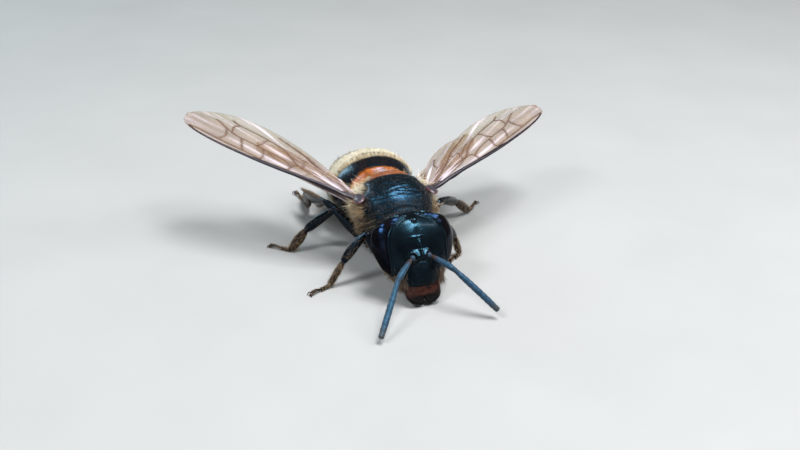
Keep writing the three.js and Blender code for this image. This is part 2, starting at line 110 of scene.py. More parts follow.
def unit(vectors):
    """The same directions, each of length 1."""
    return vectors / np.maximum(np.linalg.norm(vectors, axis=-1, keepdims=True), 1e-12)


def ripple(places, scale):
    """Smooth noise between -1 and 1 at each place; scale is features per mm, one or three numbers."""
    return np.array([noise.noise(Vector(place)) for place in np.asarray(places) * scale])


# %% Helpers that shape and finish a mesh
def reshape(bm, move):
    """Moves every corner of a shape by a function of the places and the outward directions."""
    bm.normal_update()
    places = np.array([corner.co for corner in bm.verts])
    outward = np.array([corner.normal for corner in bm.verts])
    for corner, place in zip(bm.verts, move(places, outward)):
        corner.co = place
    return bm


def ball(detail):
    """A round ball of even triangles, which the head, thorax and eyes are shaped from."""
    bm = bmesh.new()
    bmesh.ops.create_icosphere(bm, subdivisions=detail, radius=1)
    return bm


def added(bm, other):
    """Joins a second shape into the first."""
    spare = bpy.data.meshes.new("spare")
    other.to_mesh(spare)
    other.free()
    bm.from_mesh(spare)
    bpy.data.meshes.remove(spare)
    return bm


def moved(bm, matrix):
    bmesh.ops.transform(bm, matrix=matrix, verts=bm.verts)
    return bm


def ball_at(detail, place, half):
    """A ball at a place; half is one half width for all three ways, or three of them."""
    size = Matrix.Diagonal((*np.broadcast_to(half, 3), 1))
    return moved(ball(detail), Matrix.Translation(Vector(place)) @ size)


def tag(bm, name, value):
    """Writes a value at every corner of a shape: one number, or a function of the corners' places."""
    layer = bm.verts.layers.float.get(name) or bm.verts.layers.float.new(name)
    places = np.array([corner.co for corner in bm.verts])
    values = value(places) if callable(value) else np.full(len(places), value)
    for corner, its_value in zip(bm.verts, values):
        corner[layer] = float(its_value)
    return bm


def mark(mesh, name, values):
    """Writes a value at every corner of a finished mesh."""
    mesh.attributes.new(name, "FLOAT", "POINT").data.foreach_set("value", values)


def shown(name, data):
    """Puts a mesh, a light or a camera into the scene."""
    made = bpy.data.objects.new(name, data)
    bpy.context.scene.collection.objects.link(made)
    return made


# how far up a skin faces where it starts to count as underside, and where it fully does; dim_below
# turns the shine down there as painted shade
UNDER_START, UNDER_END = 0.42, 0.08


def settle(bm, name, finishes, nodes=()):
    """Makes a finished piece of a shape in bee millimetres, and fixes it to the model."""
    moved(bm, PLACE)
    mesh = bpy.data.meshes.new(name)
    bm.to_mesh(mesh)
    bm.free()
    mesh.shade_smooth()
    facing = np.empty(3 * len(mesh.vertices))
    mesh.vertices.foreach_get("normal", facing)
    # the underside, where dim_below turns the shine down as painted shade
    mark(mesh, "under", 1 - ramp(facing[2::3], UNDER_END, UNDER_START))
    for finish in finishes:
        mesh.materials.append(finish)
    piece = shown(name, mesh)
    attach(piece, "root")
    if nodes:
        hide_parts(*nodes)
    print(name, "faces:", len(mesh.polygons))
    return piece


# %% [markdown]
# ## Limbs and other drawn-out shapes
# A leg, a feeler or a wing vein is long and round, and changes its width along its length. It could be a
# curve with a bevel, but a curve can't be oval in one place and round in the next. Here a flat grid is
# rolled up round a smooth path, with its own width and thickness at each place, and its seam is merged.
# The ends are rounded off until they close, so that no hole shows.

# %% A helper that rolls a grid into a limb
SEAM = 0.0002


def rounded(*halves):
    """The half widths of a limb that is as thick as it is wide."""
    return [(half, half) for half in halves]


def limb_at(places, halves, thin_axis, share, turn):
    """The middle line of a limb, the way from there to its skin, and the direction along it."""
    size = between(halves, share)
    ahead = unit(between(places, share + 0.01) - between(places, share - 0.01))
    wide = unit(np.cross(ahead, thin_axis))
    thin = np.cross(wide, ahead)
    out = wide * (size[:, :1] * np.cos(turn)[:, None]) + thin * (size[:, 1:] * np.sin(turn)[:, None])
    return between(places, share), out, ahead


def limb(places, halves, thin_axis, sides=12, steps=16, end=0.5):
    """A closed oval limb along a table of places. halves is a table of half width and half thickness,
    and end is how many half widths its rounded ends take up."""
    bm = bmesh.new()
    bmesh.ops.create_grid(bm, x_segments=steps, y_segments=sides, size=1)
    length = np.linalg.norm(np.diff(np.array(places, float), axis=0), axis=1).sum()
    round_off = min(0.45, end * max(halves[0][0], halves[-1][0]) / length)

    def roll(grid, _):
        share = (1 - np.cos((grid[:, 0] + 1) / 2 * np.pi)) / 2
        path, out, _ahead = limb_at(places, halves, thin_axis, share, grid[:, 1] * np.pi)
        to_end = np.minimum(share, 1 - share) / round_off
        return path + out * np.sqrt(1 - (1 - np.clip(to_end, 0, 1)) ** 2)[:, None]

    reshape(bm, roll)
    bmesh.ops.remove_doubles(bm, verts=bm.verts, dist=SEAM)
    bmesh.ops.recalc_face_normals(bm, faces=bm.faces)
    return bm


# %% [markdown]
# ## Finishes
# Nothing on a bee is one flat colour. The black shell is a hard, glossy dielectric with fine pits and a
# faint blue cast, which is a painted reflection of the sky, and the mouth, wings and hair each break the
# light in their own way. Images could do this, but procedural nodes on Object coordinates work at any
# distance and need no files. Each helper below adds one layer: a stain of colour, an uneven gloss, or fine
# relief.

# %% Helpers that build a finish from nodes
def finish_of(name, colour, roughness, **sockets):
    """A Principled finish; sockets are named with _ for a space, such as Coat_Weight."""
    finish = bpy.data.materials.new(name)
    finish.use_nodes = True
    shader = finish.node_tree.nodes["Principled BSDF"]
    shader.inputs["Base Color"].default_value = (*colour, 1)
    shader.inputs["Roughness"].default_value = roughness
    for socket, value in sockets.items():
        shader.inputs[socket.replace("_", " ")].default_value = value
    print("finish:", name)
    return finish


def node(finish, kind, inputs, **settings):
    """Adds a node. inputs gives each socket a value or another node's output."""
    made = finish.node_tree.nodes.new("ShaderNode" + kind)
    for setting, value in settings.items():
        setattr(made, setting, value)
    for socket, value in inputs.items():
        if isinstance(value, bpy.types.NodeSocket):
            finish.node_tree.links.new(value, made.inputs[socket])
        else:
            made.inputs[socket].default_value = value
    return made


def feed(finish, socket, output):
    finish.node_tree.links.new(output, finish.node_tree.nodes["Principled BSDF"].inputs[socket])


def in_mm(finish, stretch=(1, 1, 1)):
    """Object coordinates in millimetres, so that a texture's scale is in features per mm."""
    coordinates = node(finish, "TexCoord", {})
    scale = [value / MM for value in stretch]
    mapping = node(finish, "Mapping", {"Vector": coordinates.outputs["Object"], "Scale": scale})
    return mapping.outputs["Vector"]


def grain(finish, scale, detail=3, stretch=(1, 1, 1)):
    inputs = {"Vector": in_mm(finish, stretch), "Scale": scale, "Detail": detail}
    return node(finish, "TexNoise", inputs).outputs["Fac"]


def cells(finish, scale):
    return node(finish, "TexVoronoi", {"Vector": in_mm(finish), "Scale": scale}).outputs["Distance"]


def tagged(finish, name):
    """A value that a mesh carries at its own corners."""
    return node(finish, "Attribute", {}, attribute_name=name).outputs["Fac"]


def spread(finish, value, low, high, start=0.3, end=0.7):
    inputs = {"Value": value, "From Min": start, "From Max": end, "To Min": low, "To Max": high}
    return node(finish, "MapRange", inputs).outputs["Result"]


def tone(finish, value, stops):
    """A colour for each value: stops is a list of (position, colour)."""
    made = node(finish, "ValToRGB", {"Fac": value})
    stains = made.color_ramp.elements
    while len(stains) < len(stops):
        stains.new(0.5)
    for stain, (position, colour) in zip(stains, stops):
        stain.position, stain.color = position, (*colour, 1)
    return made.outputs["Color"]


def blend(finish, share, first, second):
    """Mixes two colours by a share."""
    made = node(finish, "Mix", {"Factor": share}, data_type="RGBA")
    for place, colour in ((6, first), (7, second)):
        if isinstance(colour, bpy.types.NodeSocket):
            finish.node_tree.links.new(colour, made.inputs[place])
        else:
            made.inputs[place].default_value = (*colour, 1)
    return made.outputs[2]


def uneven_gloss(finish, scale, low, high):
    feed(finish, "Roughness", spread(finish, grain(finish, scale), low, high))


DULL_SHINE = 0.26


def total(finish, first, second):
    return node(finish, "Math", {0: first, 1: second}, operation="ADD").outputs[0]


def dim_below(finish, low=0.1, high=0.5):
    """Paints shade on the sides and the underside of a bee: where a skin faces down, its shine is turned
    down, so that it mirrors less of the pale floor than its top does. The satin places shine less too.
    high is how strongly the top shines, and low how strongly the underside does."""
    level = spread(finish, tagged(finish, "dull"), high, DULL_SHINE * high, 0, 1)
    feed(finish, "Specular IOR Level", spread(finish, tagged(finish, "under"), level, low, 0, 1))


def relief(finish, layers):
    """Chains bumps: each layer is a height output and its depth in millimetres."""
    normal = None
    for height, depth in layers:
        inputs = {"Height": height, "Distance": depth * MM, "Strength": 1.0}
        if normal:
            inputs["Normal"] = normal
        normal = node(finish, "Bump", inputs).outputs["Normal"]
    feed(finish, "Normal", normal)


# %% [markdown]
# ### The black shell
# The head and the bald back are black cuticle with a blue cast, smooth between fine pits. The pits are a
# cell pattern, and the blue cast is a painted sky reflection: a slow stain towards blue-black in the
# colour, and a blue tint on the glints. The gloss changes a little from place to place. A tag on
# the mesh says where the shell is satin, because one gloss all over would look like wet paint.

# %% Make the shell finishes
# the blue-black stain and the blue tints of the glints are a painted sky reflection, as the lamps are nearly
# white
BLACK, BLUE_BLACK = (0.002, 0.0025, 0.0033), (0.0035, 0.0065, 0.0095)
SKY_TINT, LEG_TINT, FOOT_TINT = (0.2, 0.64, 0.95, 1), (0.36, 0.66, 1.0, 1), (0.8, 0.9, 1.0, 1)
SATIN = (0.24, 0.36)


def shell_finish(name, dark, light, gloss, pits, pit_depth, tint=SKY_TINT):
    """Black shell with a slow stain from dark to light, partly a painted blue reflection of the sky, glints
    tinted by tint as a painted sky reflection, uneven gloss, and pits of a size and a depth.
    """
    finish = finish_of(name, dark, gloss[0], IOR=1.48, Specular_Tint=tint, Coat_Weight=0.04,
                       Coat_Roughness=0.08)
    slow, fine = grain(finish, 1.6), grain(finish, 26, 4)
    feed(finish, "Base Color", tone(finish, slow, [(0.35, dark), (0.7, light)]))
    satin = spread(finish, fine, *SATIN)
    feed(finish, "Roughness", spread(finish, tagged(finish, "dull"), spread(finish, fine, *gloss), satin, 0, 1))
    dim_below(finish)
    relief(finish, [(cells(finish, pits), pit_depth), (fine, 0.004)])
    return finish


head_shell = shell_finish("head_shell", BLACK, BLUE_BLACK, (0.11, 0.21), 13, 0.003)
leg_shell = shell_finish("leg_shell", (0.002, 0.0022, 0.003), (0.006, 0.007, 0.009), (0.12, 0.22), 17, 0.004,
                         LEG_TINT)
foot_shell = shell_finish("foot_shell", (0.009, 0.005, 0.004), (0.034, 0.016, 0.009), (0.22, 0.38), 17, 0.006,
                          FOOT_TINT)

# %% [markdown]
# ## The head capsule
# The head is one hard capsule, broad at the eyes and narrow at the mouth, with its sutures pressed into
# it. It could be joined from plates, but the real one is a single shell, so it is a ball pushed into
# shape: first to the rows of the solid, a hair's depth inside them, and then by soft dents and swells
# for the face. The head has its own upright frame, which is then tipped, turned and leaned.

# %% Set the head's frame and rows
HEAD_AT, HEAD_TURN, HEAD_TIP, HEAD_LEAN = (0.05, -2.74, 2.02), 3.5, 27, -0.5
HEAD = (Matrix.Translation(HEAD_AT) @ turned(HEAD_TURN, "Z")
        @ turned(-HEAD_TIP, "X") @ turned(HEAD_LEAN, "Y"))
# height, half width, back, front
HEAD_ROWS = [
    (-1.48, 0.0, -0.16, -0.16),
    (-1.45, 0.86, 0.27, -0.63),
    (-1.1, 1.07, 0.53, -0.81),
    (-0.6, 1.37, 0.65, -0.91),
    (0.0, 1.53, 0.71, -0.92),
    (0.55, 1.6, 0.72, -0.91),
    (1.05, 1.44, 0.67, -0.8),
    (1.41, 1.17, 0.53, -0.6),
    (1.61, 0.72, 0.33, -0.35),
    (1.67, 0.0, 0.0, 0.0),
]
HEAD_SQUARENESS = 2.3
print("head tipped by", HEAD_TIP, "degrees, rows:", len(HEAD_ROWS))


def head_form(place, _):
    """Pushes a ball out to the rows of the head."""
    share = np.arccos(np.clip(-place[:, 2], -1, 1)) / np.pi
    height, half, back, front = between(HEAD_ROWS, share).T
    turn = np.arctan2(place[:, 1], place[:, 0])
    across, deep = bulge(np.cos(turn), HEAD_SQUARENESS), bulge(np.sin(turn), HEAD_SQUARENESS)
    return np.stack([half * across, (back + front) / 2 + (back - front) / 2 * deep, height], axis=1)


# %% [markdown]
# ### The face
# Below the feelers lies the clypeus, a domed shield framed by a groove. The feelers stand in two round
# sockets with raised rims. A low shelf joins the sockets, and a fine keel runs up from it. Each compound
# eye is set in a groove with a thin raised rim, and the three simple eyes stand on a low mound at the
# crown. Bump alone would look flat from the side, so all of these are moved in the mesh itself.

# %% Places on the face
# height, then the angles from the face at which the compound eye starts and ends
EYE_ROWS = [
    (-0.86, 88, 88),
    (-0.78, 80, 96),
    (-0.5, 74, 103),
    (0.0, 71, 108),
    (0.45, 70.5, 111),
    (0.85, 70, 112),
    (1.15, 68, 112),
    (1.36, 63, 110),
    (1.5, 54, 102),
    (1.6, 76, 76),
]
# how far the eye swells out in its middle, and how far its hidden hem is sunk into the head
EYE_SWELL, EYE_SINK, EYE_HEM = 0.36, 0.09, -0.12
OCELLI = [(0, -0.67, 1.29), (0.29, -0.42, 1.51), (-0.29, -0.42, 1.51)]
SOCKET = (0.35, -0.84, -0.23)
CLYPEUS_TOP, CLYPEUS_FOOT = -0.44, -1.43
# half width of the clypeus from its top to its foot
CLYPEUS_ROWS = [(0.12,), (0.44,), (0.62,), (0.7,), (0.72,), (0.69,)]
# how far the forms of the face stand out of the skin or are pressed into it
CLYPEUS_DOME, CLYPEUS_GROOVE = 0.09, 0.03
SOCKET_RADIUS, SOCKET_RIM, SOCKET_DEPTH = 0.19, 0.02, 0.09
SHELF_HEIGHT, SHELF_BOW = 0.115, 0.12
KEEL_HEIGHT, KEEL_HALF = 0.15, 0.055
CROSS_RIDGE, CROWN_FURROW, CHEEK_DIP = 0.02, 0.018, 0.03
OCELLI_AT, OCELLI_MOUND = (0, -0.66, 1.26), 0.03
EYE_RIM, EYE_GROOVE = 0.055, 0.04
NECK_DENT = 0.2
print("simple eyes:", len(OCELLI), "rows of the compound eye:", len(EYE_ROWS))


def clypeus_inset(place):
    """How far a place on the face is inside the edge of the clypeus."""
    share = (CLYPEUS_TOP - place[:, 2]) / (CLYPEUS_TOP - CLYPEUS_FOOT)
    return np.minimum(between(CLYPEUS_ROWS, share)[:, 0] - abs(place[:, 0]), CLYPEUS_TOP - place[:, 2])


def eye_inset(place):
    """How far a place on the side of the head is inside the edge of the compound eye, in millimetres."""
    heights, starts, ends = np.array(EYE_ROWS).T
    around = np.degrees(np.arctan2(abs(place[:, 0]), -(place[:, 1] + 0.1)))
    start = np.interp(place[:, 2], heights, starts)
    end = np.interp(place[:, 2], heights, ends)
    reach = np.hypot(place[:, 0], place[:, 1] + 0.1)
    sideways = np.radians((end - start) / 2 - abs(around - (start + end) / 2)) * reach
    return np.minimum(sideways, np.minimum(place[:, 2] - heights[0], heights[-1] - place[:, 2]))


def face_relief(place, outward):
    """Lifts and presses the forms of the face, and dents the back of the head for the neck."""
    facing = ramp(-outward[:, 1], 0.1, 0.5)
    inset = clypeus_inset(place)
    lift = facing * (CLYPEUS_DOME * ramp(inset, -0.05, 0.5) - CLYPEUS_GROOVE * near(inset, 0.04))
    socket = np.hypot(abs(place[:, 0]) - SOCKET[0], place[:, 2] - SOCKET[2])
    rim, pit = SOCKET_RIM * near(socket - SOCKET_RADIUS, 0.05), SOCKET_DEPTH * ramp(-socket, -0.17, -0.05)
    lift += facing * (rim - pit)
    shelf = np.clip((0.1 - place[:, 2]) / 0.3, 0, 1) * ramp(place[:, 2], -0.5, -0.24)
    across = ramp(-abs(place[:, 0]), -0.5, -0.3)
    lift += facing * across * shelf * (SHELF_HEIGHT + SHELF_BOW * place[:, 0] ** 2)
    keel = np.clip((0.56 - place[:, 2]) / 0.5, 0, 1) * ramp(place[:, 2], -0.32, -0.16)
    lift += facing * KEEL_HEIGHT * near(place[:, 0] - 0.02, KEEL_HALF) * keel
    lift += facing * CROSS_RIDGE * near(place[:, 2] - 0.62, 0.04) * near(place[:, 0] + 0.1, 0.26)
    furrow = near(place[:, 0], 0.03) * ramp(place[:, 2], 0.3, 0.5) * ramp(-place[:, 2], -1.1, -0.9)
    lift -= facing * CROWN_FURROW * furrow
    dip = near(np.hypot((abs(place[:, 0]) - 0.72) / 1.3, place[:, 2] + 0.15), 0.32)
    lift -= facing * CHEEK_DIP * dip
    mound = np.linalg.norm(place - np.array(OCELLI_AT), axis=1)
    lift += OCELLI_MOUND * near(mound, 0.3)
    inset = eye_inset(place)
    lift += EYE_RIM * near(inset + 0.07, 0.055) - EYE_GROOVE * near(inset + 0.005, 0.025)
    neck_hollow = np.hypot(place[:, 0] / 0.9, (place[:, 2] + 0.1) / 0.8)
    lift -= ramp(outward[:, 1], 0.3, 0.8) * NECK_DENT * near(neck_hollow, 0.6)
    lift += 0.004 * ripple(place, 3.0)
    return place + outward * lift[:, None]


def face_dullness(place):
    """The face is satin, and polished only on the crown, down the keel and round the eyes."""
    crown = ramp(-abs(place[:, 0] + 0.08), -0.42, -0.16) * ramp(place[:, 2], 0.7, 0.9)
    keel = near(place[:, 0] - 0.03, 0.4) * ramp(place[:, 2], -0.4, -0.28) * ramp(-place[:, 2], -0.8, -0.66)
    rim = near(eye_inset(place) + 0.06, 0.08)
    return 1 - np.maximum(np.maximum(crown, keel), rim)


# %% Make the head capsule
head = ball(7)
reshape(head, head_form)
tag(head, "dull", face_dullness)
reshape(head, face_relief)
moved(head, HEAD)
head_capsule = settle(head, "head_capsule", [head_shell], ["head"])

# %% [markdown]
# ## Eyes
# A bee sees with two compound eyes of thousands of lenses, and three simple ones on the crown. Each
# compound eye could be a ball sunk into the head, but a real one follows the head's own curve. So the
# eye is a copy of the side of the head, swollen out inside the eye's outline. Its facets are only 0.025 mm
# wide, so they are a cell relief in the finish, under a smooth gloss that gives the hard glint, whose
# blue is a painted sky reflection.

# %% Make the compound eyes
# the blue tint of the eye's glint is a painted sky reflection
eye_glass = finish_of("eye_glass", (0.004, 0.003, 0.004), 0.2, IOR=1.4, Specular_Tint=(0.1, 0.38, 1.0, 1),
                      Coat_Weight=0.02, Coat_Roughness=0.07)
feed(eye_glass, "Base Color", tone(eye_glass, grain(eye_glass, 2.2), [
    (0.3, (0.0015, 0.0015, 0.002)), (0.7, (0.005, 0.0035, 0.0035))]))
uneven_gloss(eye_glass, 18, 0.1, 0.18)
# painted shade: the eye's lower half hardly shines, so it mirrors little of the pale floor
dim_below(eye_glass, 0.03, 0.45)
relief(eye_glass, [(cells(eye_glass, 38), 0.0014)])


def eye_form(place, outward):
    """Swells the side of the head where the eye is, and sinks the rest of it under the capsule."""
    inset = eye_inset(place)
    swell = -EYE_SINK + EYE_SINK * ramp(inset, -0.08, 0.03) + EYE_SWELL * ramp(inset, EYE_HEM, 0.8)
    return place + outward * swell[:, None]


for side_name, side in SIDES.items():
    eye = reshape(ball(7), head_form)
    beyond = [corner for corner in eye.verts if corner.co.x * side < 0.12]
    bmesh.ops.delete(eye, geom=beyond, context="VERTS")
    insets = eye_inset(np.array([corner.co for corner in eye.verts]))
    beyond = [corner for corner, inset in zip(eye.verts, insets) if inset < EYE_HEM]
    bmesh.ops.delete(eye, geom=beyond, context="VERTS")
    reshape(eye, eye_form)
    moved(eye, HEAD)
    settle(eye, f"compound_eye_{side_name}", [eye_glass], [f"eye_{side_name}"])

# %% Make the three simple eyes
# the blue tint of the simple eyes' glints is a painted sky reflection
ocellus_glass = finish_of("ocellus_glass", (0.003, 0.003, 0.004), 0.08, IOR=1.5, Specular_Tint=SKY_TINT,
                          Coat_Weight=0.2, Coat_Roughness=0.04)
uneven_gloss(ocellus_glass, 20, 0.06, 0.14)
lenses = bmesh.new()
for place in OCELLI:
    added(lenses, ball_at(4, place, 0.16 if place[0] == 0 else 0.13))
moved(lenses, HEAD)
settle(lenses, "simple_eyes", [ocellus_glass], ["ocellus_middle", "ocellus_left", "ocellus_right"])

# %% [markdown]
# ## Mouthparts
# The lip hangs under the clypeus as a small plate, and the two jaws close beside and below it like
# spoons. Behind them the tongue lies folded in its sheath. All are red-brown, darkest at the biting
# edges. They are limbs with flat cross-sections, and the jaws stop at the floor that they rest on.

# %% Make the finish of the mouth
mouth_horn = finish_of("mouth_horn", (0.05, 0.014, 0.007), 0.3, IOR=1.5, Coat_Weight=0.06, Coat_Roughness=0.15)
stain = blend(mouth_horn, spread(mouth_horn, grain(mouth_horn, 5, 4), 0, 1, 0.35, 0.65),
              (0.010, 0.0035, 0.0028), (0.052, 0.013, 0.007))
feed(mouth_horn, "Base Color", blend(mouth_horn, tagged(mouth_horn, "edge"), stain, (0.003, 0.0018, 0.002)))
uneven_gloss(mouth_horn, 22, 0.24, 0.4)
dim_below(mouth_horn, 0.06, 0.4)
relief(mouth_horn, [(grain(mouth_horn, 14, 4, (1, 1, 0.3)), 0.01)])


def above_floor(place, _):
    """Flattens a shape against the floor that it rests on."""
    return np.stack([place[:, 0], place[:, 1], np.maximum(place[:, 2], 0)], axis=1)


# %% Make the lip
lip = limb([(0, -0.5, -1.38), (0, -0.52, -1.7), (0, -0.5, -2.02)],
           [(0.58, 0.15), (0.6, 0.16), (0.5, 0.12)], (0, 1, 0), sides=40, steps=28, end=0.25)
tag(lip, "edge", lambda place: 0.7 * ramp(place[:, 2], -1.6, -1.4) + ramp(-place[:, 2], 1.82, 2.0))
moved(lip, HEAD)
settle(lip, "lip_plate", [mouth_horn], ["labrum"])

# %% Make the jaws
JAW = [(0.6, -0.34, -1.3), (0.6, -0.36, -1.66), (0.46, -0.42, -1.98), (0.04, -0.46, -2.15)]
JAW_HALVES = [(0.2, 0.22), (0.22, 0.2), (0.27, 0.17), (0.24, 0.1)]
for side_name, side in SIDES.items():
    jaw = limb([mirrored(place, side) for place in JAW], JAW_HALVES, (0, 1, 0), sides=28, steps=36)
    tag(jaw, "edge", lambda place: ramp(-place[:, 2], 1.7, 2.05))
    moved(jaw, HEAD)
    reshape(jaw, above_floor)
    settle(jaw, f"jaw_{side_name}", [mouth_horn], [f"mandible_{side_name}"])

# %% Make the folded tongue
tongue = bmesh.new()
for side in SIDES.values():
    sheath = [(0.2, -0.1, -1.95), (0.24, 0.2, -1.85), (0.24, 0.45, -1.4), (0.2, 0.58, -0.8)]
    added(tongue, limb([mirrored(place, side) for place in sheath],
                       [(0.05, 0.1), (0.1, 0.14), (0.1, 0.14), (0.06, 0.1)], (0, 1, 0), sides=16, steps=24))
    palp = [(0.36, 0.0, -1.6), (0.42, 0.1, -1.9), (0.3, -0.05, -2.1)]
    added(tongue, limb([mirrored(place, side) for place in palp], rounded(0.05, 0.045, 0.02),
                       (0, 1, 0), sides=10, steps=14))
tag(tongue, "edge", 0)
moved(tongue, HEAD)
reshape(tongue, above_floor)
settle(tongue, "folded_tongue", [mouth_horn])

# %% [markdown]
# ## Feelers
# Each feeler has a long first joint, the scape, which stands in its socket on a small ball, a short
# pedicel at the elbow, and a whip of ten rings. The rings are slate blue with a soft bloom of tiny
# hairs and turn grey-brown at the tip. The whip is one limb whose width dips at each ring, because
# separate rings would show gaps that the real feeler doesn't have.

# %% Make the finish of the feelers
# the blue tint of the feelers' glints is a painted sky reflection
feeler_skin = finish_of("feeler_skin", (0.03, 0.05, 0.085), 0.36, IOR=1.5, Specular_Tint=SKY_TINT,
                        Sheen_Weight=0.1, Sheen_Roughness=0.4)
slate = tone(feeler_skin, grain(feeler_skin, 7, 4), [
    (0.3, (0.012, 0.024, 0.042)), (0.7, (0.031, 0.060, 0.102))])
tip_stain = blend(feeler_skin, tagged(feeler_skin, "tip"), slate, (0.05, 0.042, 0.038))
neck_stain = blend(feeler_skin, tagged(feeler_skin, "neck"), tip_stain, (0.042, 0.017, 0.009))
joint_stain = blend(feeler_skin, tagged(feeler_skin, "joint"), neck_stain, (0.02, 0.012, 0.009))
feed(feeler_skin, "Base Color", joint_stain)
uneven_gloss(feeler_skin, 30, 0.36, 0.52)
relief(feeler_skin, [(grain(feeler_skin, 45, 4), 0.006), (cells(feeler_skin, 30), 0.003)])

# %% Make the feelers
# the elbow and the tip of each feeler
FEELERS = {"left": ((1.25, -4.75, 1.95), (2.8, -6.02, 0.42)), "right": ((-1.2, -4.56, 1.73), (-2.5, -6.5, 0.3))}
SCAPE_SHARES = (0.04, 0.14, 0.28, 0.6, 0.85, 0.98)
SCAPE_HALVES = rounded(0.06, 0.065, 0.1, 0.13, 0.135, 0.11)
KNOB_HALF, ELBOW_HALF, WHIP_HALF = 0.13, 0.115, 0.142
# share of the whip's width from the elbow to the tip
WHIP_ROWS = [(0.72,), (0.93,), (1,), (1,), (0.98,), (0.86,)]
RINGS, ROWS_IN_RING, RING_DIP = 10, 4, 0.93


def scape_of(socket, elbow):
    """The first joint: a ball in the socket, a thin neck and a gently bowed shaft, then the pedicel."""
    line = elbow - socket
    bow = Vector((0, 0, 0.05))
    knob = ball_at(4, socket + line * 0.03, KNOB_HALF)
    shaft = [socket + line * share + bow * math.sin(math.pi * share) for share in SCAPE_SHARES]
    pedicel = ball_at(4, elbow, ELBOW_HALF)
    return added(added(limb(shaft, SCAPE_HALVES, (0, 0, 1), sides=20, steps=30), knob), pedicel)


def whip_of(elbow, tip):
    """The ringed whip, bowed a little along its length."""
    line = tip - elbow
    bow = Vector((0, -0.04, 0.03))
    along = np.linspace(0, 1, ROWS_IN_RING * RINGS + 1)
    places = [elbow + line * share + bow * math.sin(math.pi * share) for share in along]
    dips = [1 if row % ROWS_IN_RING else RING_DIP for row in range(len(along))]
    widths = [WHIP_HALF * float(between(WHIP_ROWS, share)[0]) * dip for share, dip in zip(along, dips)]
    return limb(places, rounded(*widths), (0, 0, 1), sides=20, steps=150)


for side_name, (elbow, tip) in FEELERS.items():
    side = SIDES[side_name]
    socket = HEAD @ Vector(mirrored(SOCKET, side))
    elbow, tip = Vector(elbow), Vector(tip)
    whip_length = (tip - elbow).length
    feeler = added(scape_of(socket, elbow), whip_of(elbow, tip))

    def along_whip(place):
        return ((place - np.array(elbow)) @ np.array(tip - elbow)) / whip_length ** 2

    tag(feeler, "tip", lambda place: ramp(along_whip(place), 0.72, 1.0))
    tag(feeler, "neck", lambda place: near(np.linalg.norm(place - np.array(socket), axis=1) - 0.33, 0.17))
    tag(feeler, "joint", lambda place: near(np.linalg.norm(place - np.array(elbow), axis=1), 0.13) * 0.8)
    settle(feeler, f"feeler_{side_name}", [feeler_skin],
           [f"antenna_{side_name}_scape", f"antenna_{side_name}_flagellum"])

# %% [markdown]
# ## The thorax
# The thorax is the bee's engine room, a stiff barrel that carries the wings and legs. Collar, back plate,
# scutellum and rear are fused, so one skin covers them all, with the sutures pressed in. Where hair grows,
# the skin lies deeper inside the solids, because the solids reach to the tips of the coat. The worn back
# is nearly bare, and crossed by fine ripples that catch the light.

# %% Say where the thorax is haired
def thorax_fleece(place, outward):
    """How thickly the thorax is haired: 0 on the bare back, 1 on the flanks and behind."""
    back_plate = ramp(outward[:, 2], 0.12, 0.5) * ramp(place[:, 2], 2.6, 3.0)
    behind_hinge = ramp(abs(place[:, 0]), 1.12, 1.4) * ramp(place[:, 1], -0.1, 0.3)
    bare_top = back_plate * ramp(-place[:, 1], -1.32, -1.05) * (1 - behind_hinge)
    collar = ramp(-place[:, 1], 1.15, 1.6)
    return np.clip(1 - bare_top, 0, 1) * (1 - 0.75 * collar)


# %% Shape the thorax
# distance along the body, half width, bottom, top
THORAX_ROWS = [
    (-1.84, 0.0, 2.35, 2.35),
    (-1.8, 0.8, 1.82, 2.88),
    (-1.6, 1.17, 1.42, 3.28),
    (-1.05, 1.55, 1.12, 3.82),
    (-0.35, 1.79, 1.02, 4.17),
    (0.4, 1.83, 1.05, 4.25),
    (1.0, 1.7, 1.17, 4.05),
    (1.5, 1.38, 1.42, 3.5),
    (1.75, 0.9, 1.82, 2.85),
    (1.8, 0.0, 2.35, 2.35),
]
THORAX_SQUARENESS = 2.25
SCUTELLUM_AT, SCUTELLUM_HALF = (0, 0.98, 3.82), (1.0, 0.44, 0.43)
FLEECE_DEPTH = 0.13
# how deep the sutures of the thorax are pressed in, and how high its ripples stand
CUSHION_GROOVE, MIDDLE_LINE, COLLAR_GROOVE, SIDE_GROOVE, REAR_GROOVE = 0.03, 0.006, 0.025, 0.06, 0.05
COMB_HEIGHT, UNEVENNESS = 0.015, 0.01
print("thorax from", THORAX_ROWS[0][0], "to", THORAX_ROWS[-1][0], "mm along the body")


def thorax_form(place, _):
    """Pushes a ball out to the rows of the thorax."""
    share = np.arccos(np.clip(-place[:, 1], -1, 1)) / np.pi
    along, half, bottom, top = between(THORAX_ROWS, share).T
    turn = np.arctan2(place[:, 2], place[:, 0])
    across, up = bulge(np.cos(turn), THORAX_SQUARENESS), bulge(np.sin(turn), THORAX_SQUARENESS)
    return np.stack([half * across, along, (bottom + top) / 2 + (top - bottom) / 2 * up], axis=1)


def scutellum_form(place, _):
    """Pushes the skin out to a low oval cushion behind the back plate."""
    offset = (place - SCUTELLUM_AT) / SCUTELLUM_HALF
    reach = np.linalg.norm(offset, axis=1)
    pushed = SCUTELLUM_AT + offset / np.maximum(reach, 0.2)[:, None] * SCUTELLUM_HALF
    return np.where((reach < 1)[:, None], pushed, place)


